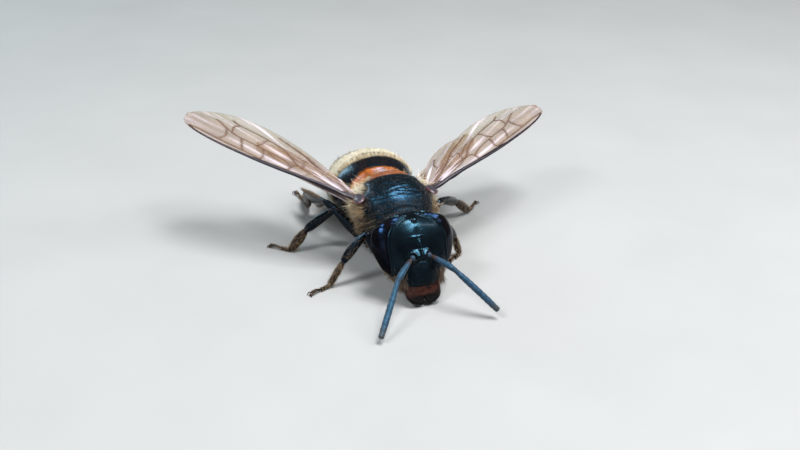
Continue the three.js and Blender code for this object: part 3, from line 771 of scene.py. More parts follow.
def thorax_relief(place, outward):
    """Presses in the sutures, raises the ripples of the back and sinks the skin under the fleece."""
    upper = ramp(outward[:, 2], 0.1, 0.5)
    lift = -FLEECE_DEPTH * thorax_fleece(place, outward)
    cushion = np.linalg.norm((place - SCUTELLUM_AT) / SCUTELLUM_HALF, axis=1)
    lift -= CUSHION_GROOVE * near(cushion - 1.03, 0.05)
    lift -= upper * MIDDLE_LINE * near(place[:, 0], 0.05) * ramp(-place[:, 1], 0.2, 0.6)
    collar = near(place[:, 1] + 1.42 + 0.12 * place[:, 0] ** 2, 0.06)
    lift -= COLLAR_GROOVE * collar * ramp(outward[:, 2], -0.2, 0.3)
    side_wall = ramp(abs(outward[:, 0]), 0.5, 0.85)
    lift -= side_wall * SIDE_GROOVE * near(place[:, 1] - 0.62 + 0.25 * (place[:, 2] - 2.5), 0.06)
    lift -= side_wall * REAR_GROOVE * near(place[:, 1] + 0.95 - 0.2 * (place[:, 2] - 2.5), 0.05)
    comb = ripple(place, (1.6, 10.0, 9.0)) + 0.5 * ripple(place + 7, (2.8, 18.0, 16.0))
    lift += upper * COMB_HEIGHT * comb
    lift += UNEVENNESS * ripple(place, 2.2)
    return place + outward * lift[:, None]


# %% Make the finish of the thorax
# the teal in the thorax's black and the blue tint of its glints are a painted sky reflection
thorax_shell = finish_of("thorax_shell", BLACK, 0.3, IOR=1.5, Specular_Tint=(0.14, 0.54, 1.0, 1),
                         Coat_Weight=0.02, Coat_Roughness=0.1)
slow, lines = grain(thorax_shell, 1.3), grain(thorax_shell, 13, 4, (0.16, 1, 0.9))
black = tone(thorax_shell, slow, [(0.3, (0.002, 0.003, 0.0038)), (0.7, (0.0045, 0.009, 0.012))])
felt = blend(thorax_shell, grain(thorax_shell, 6), (0.014, 0.011, 0.008), (0.06, 0.045, 0.025))
under_hair = spread(thorax_shell, tagged(thorax_shell, "fleece"), 0, 0.75, 0.2, 0.9)
amber = blend(thorax_shell, grain(thorax_shell, 5), (0.19, 0.05, 0.014), (0.42, 0.15, 0.055))
feed(thorax_shell, "Base Color", blend(thorax_shell, tagged(thorax_shell, "amber"),
                                       blend(thorax_shell, under_hair, black, felt), amber))
gloss, satin = spread(thorax_shell, lines, 0.17, 0.3), spread(thorax_shell, lines, 0.4, 0.5)
feed(thorax_shell, "Roughness", spread(thorax_shell, tagged(thorax_shell, "dull"), gloss, satin, 0, 1))
dim_below(thorax_shell)
relief(thorax_shell, [(lines, 0.019), (cells(thorax_shell, 15), 0.004), (grain(thorax_shell, 40), 0.002)])

# %% Make the thorax
barrel = ball(7)
reshape(barrel, thorax_form)
reshape(barrel, scutellum_form)
barrel.normal_update()
barrel_out = np.array([corner.normal for corner in barrel.verts])
tag(barrel, "fleece", lambda place: thorax_fleece(place, barrel_out))
tag(barrel, "amber", lambda place: ramp(
    -np.linalg.norm((place - SCUTELLUM_AT) / SCUTELLUM_HALF, axis=1), -1.04, -0.98))
# the back is polished, and dull towards the collar, where the dullness reaches further back at the sides
tag(barrel, "dull", lambda place: ramp(-place[:, 1] + 0.25 * abs(place[:, 0]), 1.0, 1.3))
reshape(barrel, thorax_relief)
thorax_skin = settle(barrel, "thorax_skin", [thorax_shell],
                     ["pronotum", "thorax", "scutellum", "propodeum"])

# %% [markdown]
# ## Neck, waist and wing covers
# The neck and waist are short tubes of soft skin. Over each wing root lies a tegula, a little smooth
# scale like a shoulder pad, with red-brown hinge plates beside it. The scales are flattened balls.

# %% Make the neck and the waist
links = {"neck_skin": ("neck", [(0.02, -2.3, 1.93), (0.01, -1.95, 2.15), (0, -1.6, 2.4)], 0.4),
         "waist_skin": ("waist", [(0, 1.6, 2.2), (0, 2.0, 2.28), (0, 2.45, 2.4)], 0.3)}
for name, (solid, places, half) in links.items():
    tube = limb(places, rounded(half, half * 0.8, half), (1, 0, 0), sides=32, steps=20, end=0.2)
    settle(tube, name, [leg_shell], [solid])

# %% Make the finish of the wing covers
# the pale blue tint of the scales' glints is a painted sky reflection
scale_horn = finish_of("scale_horn", (0.03, 0.018, 0.014), 0.34, IOR=1.56, Specular_Tint=(0.7, 0.85, 1.0, 1),
                       Coat_Weight=0.3, Coat_Roughness=0.3)
scale_stain = tone(scale_horn, tagged(scale_horn, "rim"), [
    (0.0, (0.03, 0.028, 0.038)), (0.55, (0.045, 0.03, 0.036)), (1.0, (0.15, 0.028, 0.014))])
feed(scale_horn, "Base Color", blend(scale_horn, grain(scale_horn, 8), scale_stain, (0.05, 0.042, 0.05)))
uneven_gloss(scale_horn, 25, 0.26, 0.42)
relief(scale_horn, [(cells(scale_horn, 20), 0.004)])

# %% Make the wing covers with their hinge plates
TEGULA_AT, TEGULA_HALF, TEGULA_LEAN = (1.7, -0.08, 3.54), (0.28, 0.45, 0.15), 24
HINGE_PLATES = [((1.86, 0.2, 3.5), (0.16, 0.12, 0.1)), ((1.78, 0.44, 3.36), (0.14, 0.17, 0.1)),
                ((1.8, 0.68, 3.08), (0.14, 0.14, 0.1)), ((1.9, -0.06, 3.42), (0.14, 0.14, 0.08))]


def scale_form(place, _):
    """Flattens the underside of a scale and draws its outer end to a soft point."""
    low = place[:, 2] < 0
    flat = np.where(low, place[:, 2] * 0.35, place[:, 2])
    narrow = 1 - 0.25 * ramp(place[:, 1], -0.2, 1.0)
    return np.stack([place[:, 0] * narrow, place[:, 1], flat], axis=1)


for side_name, side in SIDES.items():
    scale = reshape(ball(5), scale_form)
    tag(scale, "rim", lambda place: ramp(np.hypot(place[:, 0], place[:, 1]), 0.6, 1.0))
    moved(scale, Matrix.Translation(mirrored(TEGULA_AT, side)) @ turned(TEGULA_LEAN * side, "Y")
          @ Matrix.Diagonal((*TEGULA_HALF, 1)))
    for place, half in HINGE_PLATES:
        added(scale, tag(ball_at(3, mirrored(place, side), half), "rim", 1))
    settle(scale, f"wing_cover_{side_name}", [scale_horn], [f"tegula_{side_name}"])

# %% [markdown]
# ## The abdomen
# The abdomen is a telescope of rings. Each ring has a back plate that laps over the next one and down its
# sides, and a belly plate beneath it. A solid egg with painted stripes would lose the laps, so each
# plate is its own sheet: a short profile is spun round the body's axis, pushed to the oval and the droop
# of the solid, and given its thickness.

# %% Rows of the abdomen
# distance along the body, height of the middle, half width, half height
ABDOMEN_ROWS = [
    (2.14, 2.4, 0.95, 0.9),
    (2.5, 2.34, 1.56, 1.4),
    (3.3, 2.22, 1.98, 1.7),
    (4.3, 2.04, 2.08, 1.78),
    (5.35, 1.82, 2.0, 1.64),
    (6.4, 1.52, 1.7, 1.36),
    (7.35, 1.18, 1.2, 0.96),
    (8.0, 0.92, 0.68, 0.56),
    (8.35, 0.76, 0.22, 0.2),
]
ABDOMEN_JOINTS = [0, 0.13, 0.34, 0.54, 0.72, 0.87, 1]
# share of the abdomen by which a plate laps, then the thickness and the depth of a plate in millimetres
LAP, PLATE, ABDOMEN_DEPTH = 0.035, 0.035, 0.04
print("abdomen from", ABDOMEN_ROWS[0][0], "to", ABDOMEN_ROWS[-1][0], "mm along the body")


def abdomen_skin_at(share, turn, scale):
    """Places on the abdomen: share runs from waist to tip, and turn runs round it from the left."""
    along, height, half_wide, half_high = between(ABDOMEN_ROWS, share).T
    ahead = between(ABDOMEN_ROWS, share + 0.01) - between(ABDOMEN_ROWS, share - 0.01)
    slope = np.arctan2(ahead[:, 1], ahead[:, 0])
    half_wide, half_high = half_wide - ABDOMEN_DEPTH, half_high - ABDOMEN_DEPTH
    out, up = half_wide * scale * np.cos(turn), half_high * scale * np.sin(turn)
    return np.stack([out, along - up * np.sin(slope), height + up * np.cos(slope)], axis=1)


# %% A helper that spins one plate
# share of the plate's length, and how far it stands from the axis
PLATE_PROFILE = [(0, 0.94), (0.1, 0.962), (0.3, 0.985), (0.55, 0.997), (0.8, 1.002), (0.95, 1.0), (1.0, 0.992)]


def body_plate(index, opening, scale):
    """A curved plate round ring index of the abdomen; opening is half the angle left open below."""
    start = ABDOMEN_JOINTS[index] - (LAP if index else 0)
    end = min(ABDOMEN_JOINTS[index + 1] + LAP * 0.4, 1)
    bm = bmesh.new()
    tall = between(PLATE_PROFILE, np.linspace(0, 1, 25))
    first = opening - math.pi / 2
    corners = [bm.verts.new((stand * math.cos(first), reach, stand * math.sin(first))) for reach, stand in tall]
    profile = corners + [bm.edges.new(pair) for pair in zip(corners, corners[1:])]
    bmesh.ops.spin(bm, geom=profile, cent=(0, 0, 0), axis=(0, -1, 0), steps=110,
                   angle=2 * math.pi - 2 * opening, use_merge=opening == 0)
    bmesh.ops.remove_doubles(bm, verts=bm.verts, dist=SEAM)
    tag(bm, "reach", lambda place: place[:, 1])

    def to_body(place, _):
        turn, stand = np.arctan2(place[:, 2], place[:, 0]), np.hypot(place[:, 0], place[:, 2])
        return abdomen_skin_at(start + (end - start) * place[:, 1], turn, stand * scale)

    reshape(bm, to_body)
    bmesh.ops.recalc_face_normals(bm, faces=bm.faces)
    return bm


# %% Make the finishes of the rings
AMBER, DEEP_AMBER, SOOT = (0.35, 0.092, 0.007), (0.14, 0.033, 0.004), (0.005, 0.0055, 0.007)
UMBER, RUST, TAN = (0.03, 0.011, 0.006), (0.05, 0.016, 0.007), (0.06, 0.02, 0.008)
# for each ring, the stains from its front edge (0) to its rear edge (1)
RING_STOPS = [
    [(0.0, SOOT), (0.3, DEEP_AMBER), (0.5, AMBER), (0.89, AMBER), (0.97, UMBER), (1.0, SOOT)],
    [(0.1, DEEP_AMBER), (0.16, DEEP_AMBER), (0.24, SOOT), (0.93, SOOT), (1.0, RUST)],
    [(0.2, AMBER), (0.44, AMBER), (0.58, SOOT), (0.93, SOOT), (1.0, RUST)],
    [(0.14, DEEP_AMBER), (0.28, DEEP_AMBER), (0.4, SOOT), (0.92, SOOT), (1.0, TAN)],
    [(0.1, RUST), (0.3, SOOT), (0.92, SOOT), (1.0, TAN)],
    [(0.1, (0.03, 0.012, 0.007)), (0.4, SOOT), (1.0, (0.02, 0.01, 0.007))],
]


def ring_finish(name, stops):
    """Shell that changes colour along the ring, with wavy edges and small dark specks."""
    # the blue tint of the rings' glints is a painted sky reflection
    finish = finish_of(name, SOOT, 0.3, IOR=1.5, Specular_Tint=(0.1, 0.5, 0.85, 1), Coat_Weight=0.03,
                       Coat_Roughness=0.12)
    wave = spread(finish, grain(finish, 1.8, 4), -0.05, 0.05)
    wavy = total(finish, tagged(finish, "reach"), wave)
    speck = spread(finish, grain(finish, 3.4, 5, (1, 0.35, 1)), 0.0, 0.6, 0.46, 0.72)
    feed(finish, "Base Color", blend(finish, speck, tone(finish, wavy, stops), (0.018, 0.009, 0.006)))
    uneven_gloss(finish, 20, 0.16, 0.32)
    dim_below(finish)
    relief(finish, [(cells(finish, 12), 0.004), (grain(finish, 8, 4, (1, 0.35, 1)), 0.012)])
    return finish


ring_finishes = [ring_finish(f"ring_{number}", stops) for number, stops in enumerate(RING_STOPS, 1)]

# %% Make the back plates
SIDE_LAP = math.radians(48)
back_plates = []
for index, finish in enumerate(ring_finishes):
    plate = body_plate(index, SIDE_LAP, 1.0)
    bmesh.ops.solidify(plate, geom=plate.faces, thickness=PLATE)
    back_plates.append(settle(plate, f"back_plate_{index + 1}", [finish], [f"abdomen_{index + 1}"]))

# %% Make the belly plates
belly_horn = ring_finish("belly_horn", [(0.1, DEEP_AMBER), (0.5, DEEP_AMBER), (0.75, UMBER),
                                        (1.0, TAN)])
belly = bmesh.new()
for index in range(len(RING_STOPS)):
    added(belly, body_plate(index, 0, 0.95))
# two caps close the tube of plates at the tip and at the waist
added(belly, tag(ball_at(4, (0, 8.2, 0.8), (0.26, 0.14, 0.22)), "reach", 1))
added(belly, tag(ball_at(5, (0, 2.22, 2.38), (0.84, 0.12, 0.79)), "reach", 0))
settle(belly, "belly_plates", [belly_horn], [f"abdomen_{number}" for number in range(1, 7)])

# %% [markdown]
# ## Wings
# A wing is a clear brown film, thinner than a hair and pleated like a fan near its root, held open by
# brown veins. The film catches the light in long streaks because of the pleats, so they are moved in the
# mesh, and pale streaks that fan out from the root are also painted into its colour as painted glints.
# It is a grid stretched between the leading and the trailing edge. The veins are thin limbs that
# follow the same pleats, thick along the leading edge and fine towards the tip.

# %% Outlines and veins of the wings
# each edge runs from the hinge to the tip: along the wing, across it
FORE_LEAD = [(0, -0.2), (1.2, -0.27), (2.6, -0.34), (4.0, -0.36), (5.5, -0.29), (7.0, -0.15), (8.2, 0.15),
             (8.8, 0.43), (9.08, 0.78), (9.13, 1.16)]
FORE_TRAIL = [(0, 0.28), (0.9, 0.62), (2.0, 1.26), (3.4, 1.96), (5.0, 2.51), (6.6, 2.76), (7.8, 2.52),
              (8.66, 2.03), (9.06, 1.56), (9.13, 1.16)]
HIND_LEAD = [(0, -0.18), (1.8, -0.26), (3.8, -0.24), (5.4, 0.03), (6.1, 0.26), (6.4, 0.52), (6.45, 0.76)]
HIND_TRAIL = [(0, 0.26), (0.8, 0.88), (1.6, 1.29), (2.5, 1.26), (3.6, 1.48), (5.0, 1.46), (6.0, 1.2),
              (6.38, 0.98), (6.45, 0.76)]
# half width at the start and at the end, then the places that the vein passes
FORE_VEINS = [
    (0.115, 0.03, [(-0.05, -0.1), (0.6, -0.16), (1.4, -0.22), (2.8, -0.29), (4.2, -0.31), (5.5, -0.24),
                   (6.8, -0.11), (7.9, 0.1), (8.6, 0.38)]),
    (0.07, 0.035, [(0.05, 0.0), (1.2, -0.1), (2.8, -0.17), (4.2, -0.2), (5.0, -0.22)]),
    (0.06, 0.03, [(0.1, 0.08), (1.0, 0.17), (2.0, 0.33), (3.0, 0.52)]),
    (0.028, 0.025, [(3.0, 0.52), (3.25, 0.25), (3.5, -0.15)]),
    (0.028, 0.022, [(3.0, 0.52), (3.6, 0.92), (4.3, 1.28), (5.0, 1.55), (5.8, 1.78), (6.7, 1.95), (7.2, 2.2)]),
    (0.05, 0.018, [(0.1, 0.16), (1.0, 0.48), (2.0, 0.95), (3.0, 1.5), (3.9, 1.86), (4.8, 2.2)]),
    (0.024, 0.022, [(2.85, 0.5), (2.95, 1.0), (2.8, 1.4)]),
    (0.024, 0.02, [(3.3, 0.2), (4.2, 0.55), (5.1, 0.78), (6.0, 0.92), (6.5, 1.02), (7.1, 1.28), (7.8, 1.62)]),
    (0.022, 0.02, [(5.35, 0.82), (5.2, 1.2), (5.0, 1.55)]),
    (0.022, 0.02, [(6.75, 1.1), (6.85, 1.5), (6.7, 1.95)]),
    (0.026, 0.022, [(4.9, -0.2), (4.75, 0.2), (4.95, 0.72)]),
    (0.024, 0.02, [(4.85, 0.02), (5.6, 0.12), (6.4, 0.2), (7.2, 0.3), (8.0, 0.42), (8.6, 0.44)]),
    (0.022, 0.02, [(5.75, 0.15), (5.95, 0.5), (6.2, 0.95)]),
    (0.022, 0.02, [(7.1, 0.3), (6.85, 0.6), (6.95, 0.95), (7.1, 1.28)]),
]
HIND_VEINS = [
    (0.06, 0.03, [(0, -0.1), (1.8, -0.19), (3.0, -0.18), (3.6, -0.16)]),
    (0.03, 0.018, [(3.0, -0.16), (4.2, 0.14), (5.5, 0.4)]),
    (0.04, 0.02, [(0.1, 0.05), (1.4, 0.28), (2.3, 0.45), (2.9, 0.55), (4.2, 0.8), (5.3, 1.0)]),
    (0.022, 0.02, [(3.1, -0.12), (3.0, 0.25), (2.9, 0.55)]),
    (0.022, 0.018, [(2.3, 0.45), (2.5, 0.78), (3.3, 1.15)]),
    (0.03, 0.018, [(0.1, 0.15), (1.0, 0.58), (1.9, 0.95)]),
]
FORE_HINGE, HIND_HINGE = (1.78, 0.16, 3.52), (1.7, 0.72, 2.93)
# hinge, edges, veins, number of pleats, then degrees swept back, raised and twisted on each side
WINGS = {
    "forewing": (FORE_HINGE, FORE_LEAD, FORE_TRAIL, FORE_VEINS, 3.3,
                 {"left": (29, 8, -4), "right": (34, 15.5, 2)}),
    "hindwing": (HIND_HINGE, HIND_LEAD, HIND_TRAIL, HIND_VEINS, 1.8,
                 {"left": (46, 4, 0), "right": (50, 11, 0)}),
}

# %% Make the finishes of the wings
wing_film = finish_of("wing_film", (0.4, 0.3, 0.24), 0.25, IOR=1.5, Alpha=0.4, Coat_Weight=0.15,
                      Coat_Roughness=0.15)
smoke = tone(wing_film, grain(wing_film, 1.1, 4), [(0.32, (0.17, 0.078, 0.034)), (0.68, (0.32, 0.185, 0.095))])
hem = blend(wing_film, tagged(wing_film, "hem"), smoke, (0.27, 0.215, 0.12))
# painted glint: pale lilac-white streaks of reflected light, painted into the film's colour
folded = blend(wing_film, tagged(wing_film, "streak"), hem, (0.88, 0.80, 0.90))
feed(wing_film, "Base Color", blend(wing_film, tagged(wing_film, "vein"), folded, (0.12, 0.06, 0.04)))
uneven_gloss(wing_film, 14, 0.2, 0.38)
veined = spread(wing_film, tagged(wing_film, "vein"), 0.0, 0.25, 0.0, 1.0)
# the painted glint streaks are made more opaque, so that the painted light shows
glint_opacity = spread(wing_film, tagged(wing_film, "streak"), 0.34, 0.8, 0.1, 1.0)
feed(wing_film, "Alpha", total(wing_film, glint_opacity, veined))
relief(wing_film, [(grain(wing_film, 5, 4, (0.5, 1, 1)), 0.02), (cells(wing_film, 22), 0.003)])
vein_horn = finish_of("vein_horn", (0.024, 0.012, 0.014), 0.34, IOR=1.5, Coat_Weight=0.08, Coat_Roughness=0.2)
stem = tone(vein_horn, grain(vein_horn, 3), [(0.3, (0.006, 0.003, 0.007)), (0.7, (0.018, 0.009, 0.02))])
feed(vein_horn, "Base Color", blend(vein_horn, tagged(vein_horn, "fine"), stem, (0.15, 0.078, 0.042)))
uneven_gloss(vein_horn, 20, 0.26, 0.45)
dim_below(vein_horn, 0.2)
relief(vein_horn, [(grain(vein_horn, 30), 0.006)])


# %% Helpers for the film and its pleats
FILM = 0.012
PLEAT_DEPTH, CAMBER = 0.1, 0.1
WORN_EDGE = 0.05
VEIN_REACH = 0.07


def pleat(place, lead, trail, count):
    """How far the film stands out of the wing's plane at places (along, across) on it."""
    shares = np.linspace(0, 1, 60)
    front, back = between(lead, shares), between(trail, shares)
    first = np.interp(place[:, 0], front[:, 0], front[:, 1])
    last = np.interp(place[:, 0], back[:, 0], back[:, 1])
    across = np.clip((place[:, 1] - first) / np.maximum(last - first, 0.05), 0, 1)
    span = back[-1, 0]
    fading = 1 - 0.75 * ramp(place[:, 0], 0.15 * span, span)
    depth = PLEAT_DEPTH * ramp(place[:, 0], 0, 0.12 * span) * fading
    camber = CAMBER * np.sin(np.pi * across) * ramp(place[:, 0], 0, 0.3 * span)
    return depth * np.sin(2 * np.pi * count * across ** 0.85 + 0.4) + camber


def near_veins(place, veins):
    """1 on a vein, fading out a little beside it."""
    closest = np.full(len(place), 9.0)
    for start, end, points in veins:
        line = between(points, np.linspace(0, 1, 40))
        gap = np.linalg.norm(place[:, None, :2] - line[None], axis=2).min(axis=1)
        closest = np.minimum(closest, gap)
    return near(closest, VEIN_REACH)


def streaks(place, span):
    """Painted glints: pale streaks of reflected light that fan out from the wing's root, strongest near it."""
    along, across = place[:, 0] + 1.2, place[:, 1] + 0.3
    reach, turn = np.hypot(along, across), np.arctan2(across, along)
    fan = np.stack([0.3 * reach, 24 * turn, 0 * reach], axis=1)
    near_root = ramp(-place[:, 0], -0.3 * span, -0.05 * span)
    fold = ramp(ripple(fan, 1.0) + 0.6 * ripple(fan * [1.6, 2.3, 1] + 5, 1.0) + 0.5 * near_root, 0.0, 0.7)
    return fold * (1 - 0.5 * ramp(place[:, 0], 0.25 * span, 0.85 * span))


def film_of(lead, trail, veins, count):
    """The film of a wing in the wing's own plane, with a slightly worn trailing edge."""
    bm = bmesh.new()
    bmesh.ops.create_grid(bm, x_segments=200, y_segments=56, size=1)

    def stretch(grid, _):
        share, across = np.sin((grid[:, 0] + 1) / 4 * np.pi), (grid[:, 1] + 1) / 2
        front, back = between(lead, share), between(trail, share)
        notches = np.abs(ripple(np.stack([share * 30, across * 0, across * 0], axis=1), 1))
        wear = WORN_EDGE * notches * across ** 4
        back = back + (front - back) * wear[:, None]
        flat = front + (back - front) * across[:, None]
        lift = pleat(flat, lead, trail, count)
        return np.concatenate([flat, lift[:, None]], axis=1)

    reshape(bm, stretch)
    bmesh.ops.remove_doubles(bm, verts=bm.verts, dist=SEAM)
    tag(bm, "vein", lambda place: near_veins(place, veins))
    # painted glint: where pale streaks of reflected light are painted on the film
    tag(bm, "streak", lambda place: streaks(place, trail[-1][0]))
    tag(bm, "hem", lambda place: ramp(place[:, 1], 0.9, 2.4))
    doubled = bmesh.ops.extrude_face_region(bm, geom=bm.faces, use_keep_orig=True)["geom"]
    upper = [part for part in doubled if isinstance(part, bmesh.types.BMVert)]
    bmesh.ops.translate(bm, verts=upper, vec=(0, 0, FILM))
    return bm


def veins_of(lead, trail, veins, count):
    """The veins of a wing, which follow the pleats of its film."""
    bm = bmesh.new()
    for start, end, points in veins:
        flat = between(points, np.linspace(0, 1, 12))
        lift = pleat(flat, lead, trail, count)
        line = np.concatenate([flat, lift[:, None]], axis=1)
        halves = [(start, start * 0.9), (0.5 * (start + end), 0.45 * (start + end)), (end, end * 0.9)]
        fine = ramp(-start, -0.075, -0.04)
        added(bm, tag(limb(line, halves, (0, 0, 1), sides=10, steps=44), "fine", fine))
    return bm


# %% Make the wings
for wing_name, (hinge, lead, trail, veins, count, poses) in WINGS.items():
    for side_name, (sweep, lift, twist) in poses.items():
        side = SIDES[side_name]
        hang = (Matrix.Translation(mirrored(hinge, side)) @ turned(sweep * side, "Z")
                @ turned(-lift * side, "Y") @ turned(twist, "X")
                @ Matrix.Diagonal((side, 1, 1, 1)))
        for part, shape, finish in (("film", film_of, wing_film), ("veins", veins_of, vein_horn)):
            piece = moved(shape(lead, trail, veins, count), hang)
            bmesh.ops.recalc_face_normals(piece, faces=piece.faces)
            settle(piece, f"{wing_name}_{side_name}_{part}", [finish], [f"{wing_name}_{side_name}"])

# %% [markdown]
# ## Legs
# Each leg has a hip joint, a short ring, a thigh, a shin and a foot of five small joints with two claws
# and a pad. The hind shin is broad and hollowed, a basket for pollen. Each joint is a limb with its own
# table of widths, and all the joints of one leg are one piece. The shin and thigh are blue-black and the
# foot is brown, so the piece carries two finishes.

# %% Places of the joints
LEGS = {
    "fore_right": ((-0.5, -1.15, 1.45), (-0.85, -1.5, 0.82), (-1.72, -1.28, 2.42), (-2.8, -1.38, 1.18),
                   (-3.45, -1.42, 0), (-4.5, -1.95, 0)),
    "fore_left": ((0.5, -1.15, 1.45), (0.85, -1.5, 0.82), (1.84, -1.12, 2.36), (2.75, -0.4, 1.14),
                  (3.1, -0.2, 0), (2.3, -0.95, 0)),
    "mid_right": ((-0.75, 0.15, 1.45), (-1.12, 0.5, 0.8), (-2.49, 1.5, 2.36), (-3.73, 2.19, 1.14),
                  (-4.45, 2.36, 0), (-5.42, 3.15, 0)),
    "mid_left": ((0.75, 0.15, 1.45), (1.12, 0.5, 0.8), (2.75, 1.75, 2.0), (4.1, 3.2, 1.08),
                 (5.05, 3.95, 0), (5.85, 4.85, 0)),
    "hind_right": ((-0.72, 1.15, 1.5), (-1.15, 1.6, 0.78), (-2.5, 3.3, 1.95), (-2.75, 5.95, 0.98),
                   (-2.72, 7.5, 0), (-3.0, 8.75, 0)),
    "hind_left": ((0.72, 1.15, 1.5), (1.15, 1.6, 0.78), (2.5, 3.3, 1.95), (2.75, 5.95, 0.98),
                  (2.72, 7.5, 0), (3.0, 8.75, 0)),
}
HIP = [(0.16, 0.15), (0.27, 0.25), (0.31, 0.27), (0.24, 0.22), (0.13, 0.13)]
THIGH = [(0.1, 0.1), (0.19, 0.18), (0.25, 0.22), (0.25, 0.21), (0.2, 0.19), (0.15, 0.14)]
SHINS = {
    "fore": [(0.13, 0.13), (0.18, 0.17), (0.21, 0.19), (0.22, 0.19), (0.2, 0.17), (0.14, 0.14)],
    "mid": [(0.13, 0.13), (0.18, 0.16), (0.22, 0.18), (0.23, 0.18), (0.21, 0.17), (0.14, 0.14)],
    "hind": [(0.11, 0.1), (0.2, 0.13), (0.33, 0.16), (0.44, 0.17), (0.48, 0.16), (0.36, 0.12)],
}
FIRST_TOES = {
    "fore": [(0.12, 0.11), (0.16, 0.14), (0.16, 0.14), (0.13, 0.12)],
    "mid": [(0.13, 0.11), (0.22, 0.14), (0.22, 0.14), (0.15, 0.12)],
    "hind": [(0.2, 0.11), (0.42, 0.15), (0.42, 0.15), (0.24, 0.12)],
}
TOE_LENGTHS = (0.14, 0.29, 0.44)
TOE_HALF, SOLE = 0.1, 0.13
# where the claws start, as a share of the foot
CLAWS_AT = 0.86
CLAW_HALVES = [(0.035, 0.03), (0.03, 0.026), (0.02, 0.018), (0.005, 0.005)]
SPUR_HALVES = rounded(0.03, 0.022, 0.004)
print("legs:", len(LEGS))


# %% Helpers that build one leg
def leg_lengths(pair, hip, ring, knee, ankle, heel, toe):
    """Each length of a leg as (places, halves, thin axis, is it brown)."""
    joints = (hip, ring, knee, ankle, heel, toe)
    hip, ring, knee, ankle, heel, toe = (np.array(place, float) for place in joints)
    flat_side = unit(np.cross(knee - ring, ankle - knee))
    level = unit(toe - heel)
    sole = heel + np.array([0, 0, SOLE])
    aside = np.cross(level, (0, 0, 1))
    down_thigh = unit(knee - ring)
    thigh = ring + 0.14 * down_thigh
    lengths = [
        ([hip, hip + 0.5 * (ring - hip), ring], HIP, flat_side, False),
        ([ring - 0.1 * down_thigh, ring + 0.12 * down_thigh], [(0.15, 0.14), (0.14, 0.14)], flat_side, False),
        ([thigh, thigh + 0.5 * (knee - thigh) + (0, 0, 0.03), knee], THIGH, flat_side, False),
        ([knee, knee + 0.5 * (ankle - knee) + 0.04 * down_thigh, ankle], SHINS[pair], flat_side, False),
        ([ankle, ankle + 0.5 * (sole - ankle), sole], FIRST_TOES[pair], aside, True),
    ]
    reach = np.linalg.norm(toe - heel)
    lowered = np.array([0, 0, TOE_HALF])
    spots = [sole] + [heel + level * reach * share + lowered for share in TOE_LENGTHS]
    for before, after in zip(spots, spots[1:]):
        lengths.append(([before, 0.5 * (before + after), after - 0.02 * level],
                        [(0.06, 0.06), (0.09, 0.085), (0.1, 0.095)], aside, True))
    last = [spots[-1], heel + level * reach * 0.66 + (0, 0, 0.17),
            heel + level * reach * CLAWS_AT + (0, 0, 0.14)]
    lengths.append((last, [(0.045, 0.045), (0.06, 0.06), (0.095, 0.085)], aside, True))
    return lengths


def claws_of(heel, toe):
    """Two hooked claws and the pad between them, at the end of a foot."""
    heel, toe = np.array(heel, float), np.array(toe, float)
    level = unit(toe - heel)
    aside = np.cross(level, (0, 0, 1))
    end = heel + (toe - heel) * CLAWS_AT + (0, 0, SOLE)
    bm = bmesh.new()
    for side in SIDES.values():
        hook = [end + aside * side * 0.04,
                end + level * 0.07 + aside * side * 0.1 + (0, 0, 0.02),
                end + level * 0.14 + aside * side * 0.13 - (0, 0, 0.05),
                end + level * 0.15 + aside * side * 0.12 - (0, 0, 0.125)]
        added(bm, limb(hook, CLAW_HALVES, aside, sides=10, steps=20))
    pad = ball_at(3, end + level * 0.07 - (0, 0, 0.06), (0.07, 0.07, 0.06))
    return reshape(added(bm, pad), above_floor)


# %% Make the legs, their spurs and claws
leg_parts = {}
for leg_name, joints in LEGS.items():
    pair = leg_name.split("_")[0]
    lengths = leg_lengths(pair, *joints)
    leg_parts[leg_name] = lengths
    leg = bmesh.new()
    for places, halves, thin_axis, brown in lengths:
        length = limb(places, halves, thin_axis, sides=22, steps=34)
        for face in length.faces:
            face.material_index = int(brown)
        added(leg, length)
    ankle, heel = np.array(joints[3], float), np.array(joints[4], float)
    shin_side, down_foot = np.array(lengths[3][2]), unit(heel - ankle)
    for lean in (0.06, -0.08):
        spur = [ankle, ankle + 0.14 * down_foot + lean * shin_side - (0, 0, 0.03),
                ankle + 0.32 * down_foot + 2 * lean * shin_side]
        spike = limb(spur, SPUR_HALVES, shin_side, sides=8, steps=14)
        for face in spike.faces:
            face.material_index = 1
        added(leg, spike)
    solids = [f"leg_{leg_name}_{length}" for length in ("coxa", "femur", "tibia", "tarsus")]
    settle(reshape(leg, above_floor), f"limb_{leg_name}", [leg_shell, foot_shell], solids)
    settle(claws_of(joints[4], joints[5]), f"claws_{leg_name}", [mouth_horn], solids[3:])

# %% [markdown]
# ## The coat
# A bee's hair is short, fine and feathery, and lies along the body. Particle hair or curves would have to
# be converted before the model could be used elsewhere, so each hair here is a thin solid spike: three
# small rings of three corners and a tip, bent from the way it leaves the skin to the way it lies. Hairs
# that grow close together share part of their lean, which parts the coat into soft locks.

# %% Helpers that sow roots on a skin
def skin_of(piece):
    """The triangles of a finished piece, in bee millimetres."""
    mesh = piece.data
    mesh.calc_loop_triangles()
    places = np.empty(3 * len(mesh.vertices))
    mesh.vertices.foreach_get("co", places)
    triangles = np.empty(3 * len(mesh.loop_triangles), int)
    mesh.loop_triangles.foreach_get("vertices", triangles)
    places = (places.reshape(-1, 3) - np.array(PLACE.translation)) / MM
    return places[triangles.reshape(-1, 3)]


# triangles are put in order by places rounded to a tenth of a micrometre
ORDER_STEPS, ORDER_BASE = 10000, 2 ** 20


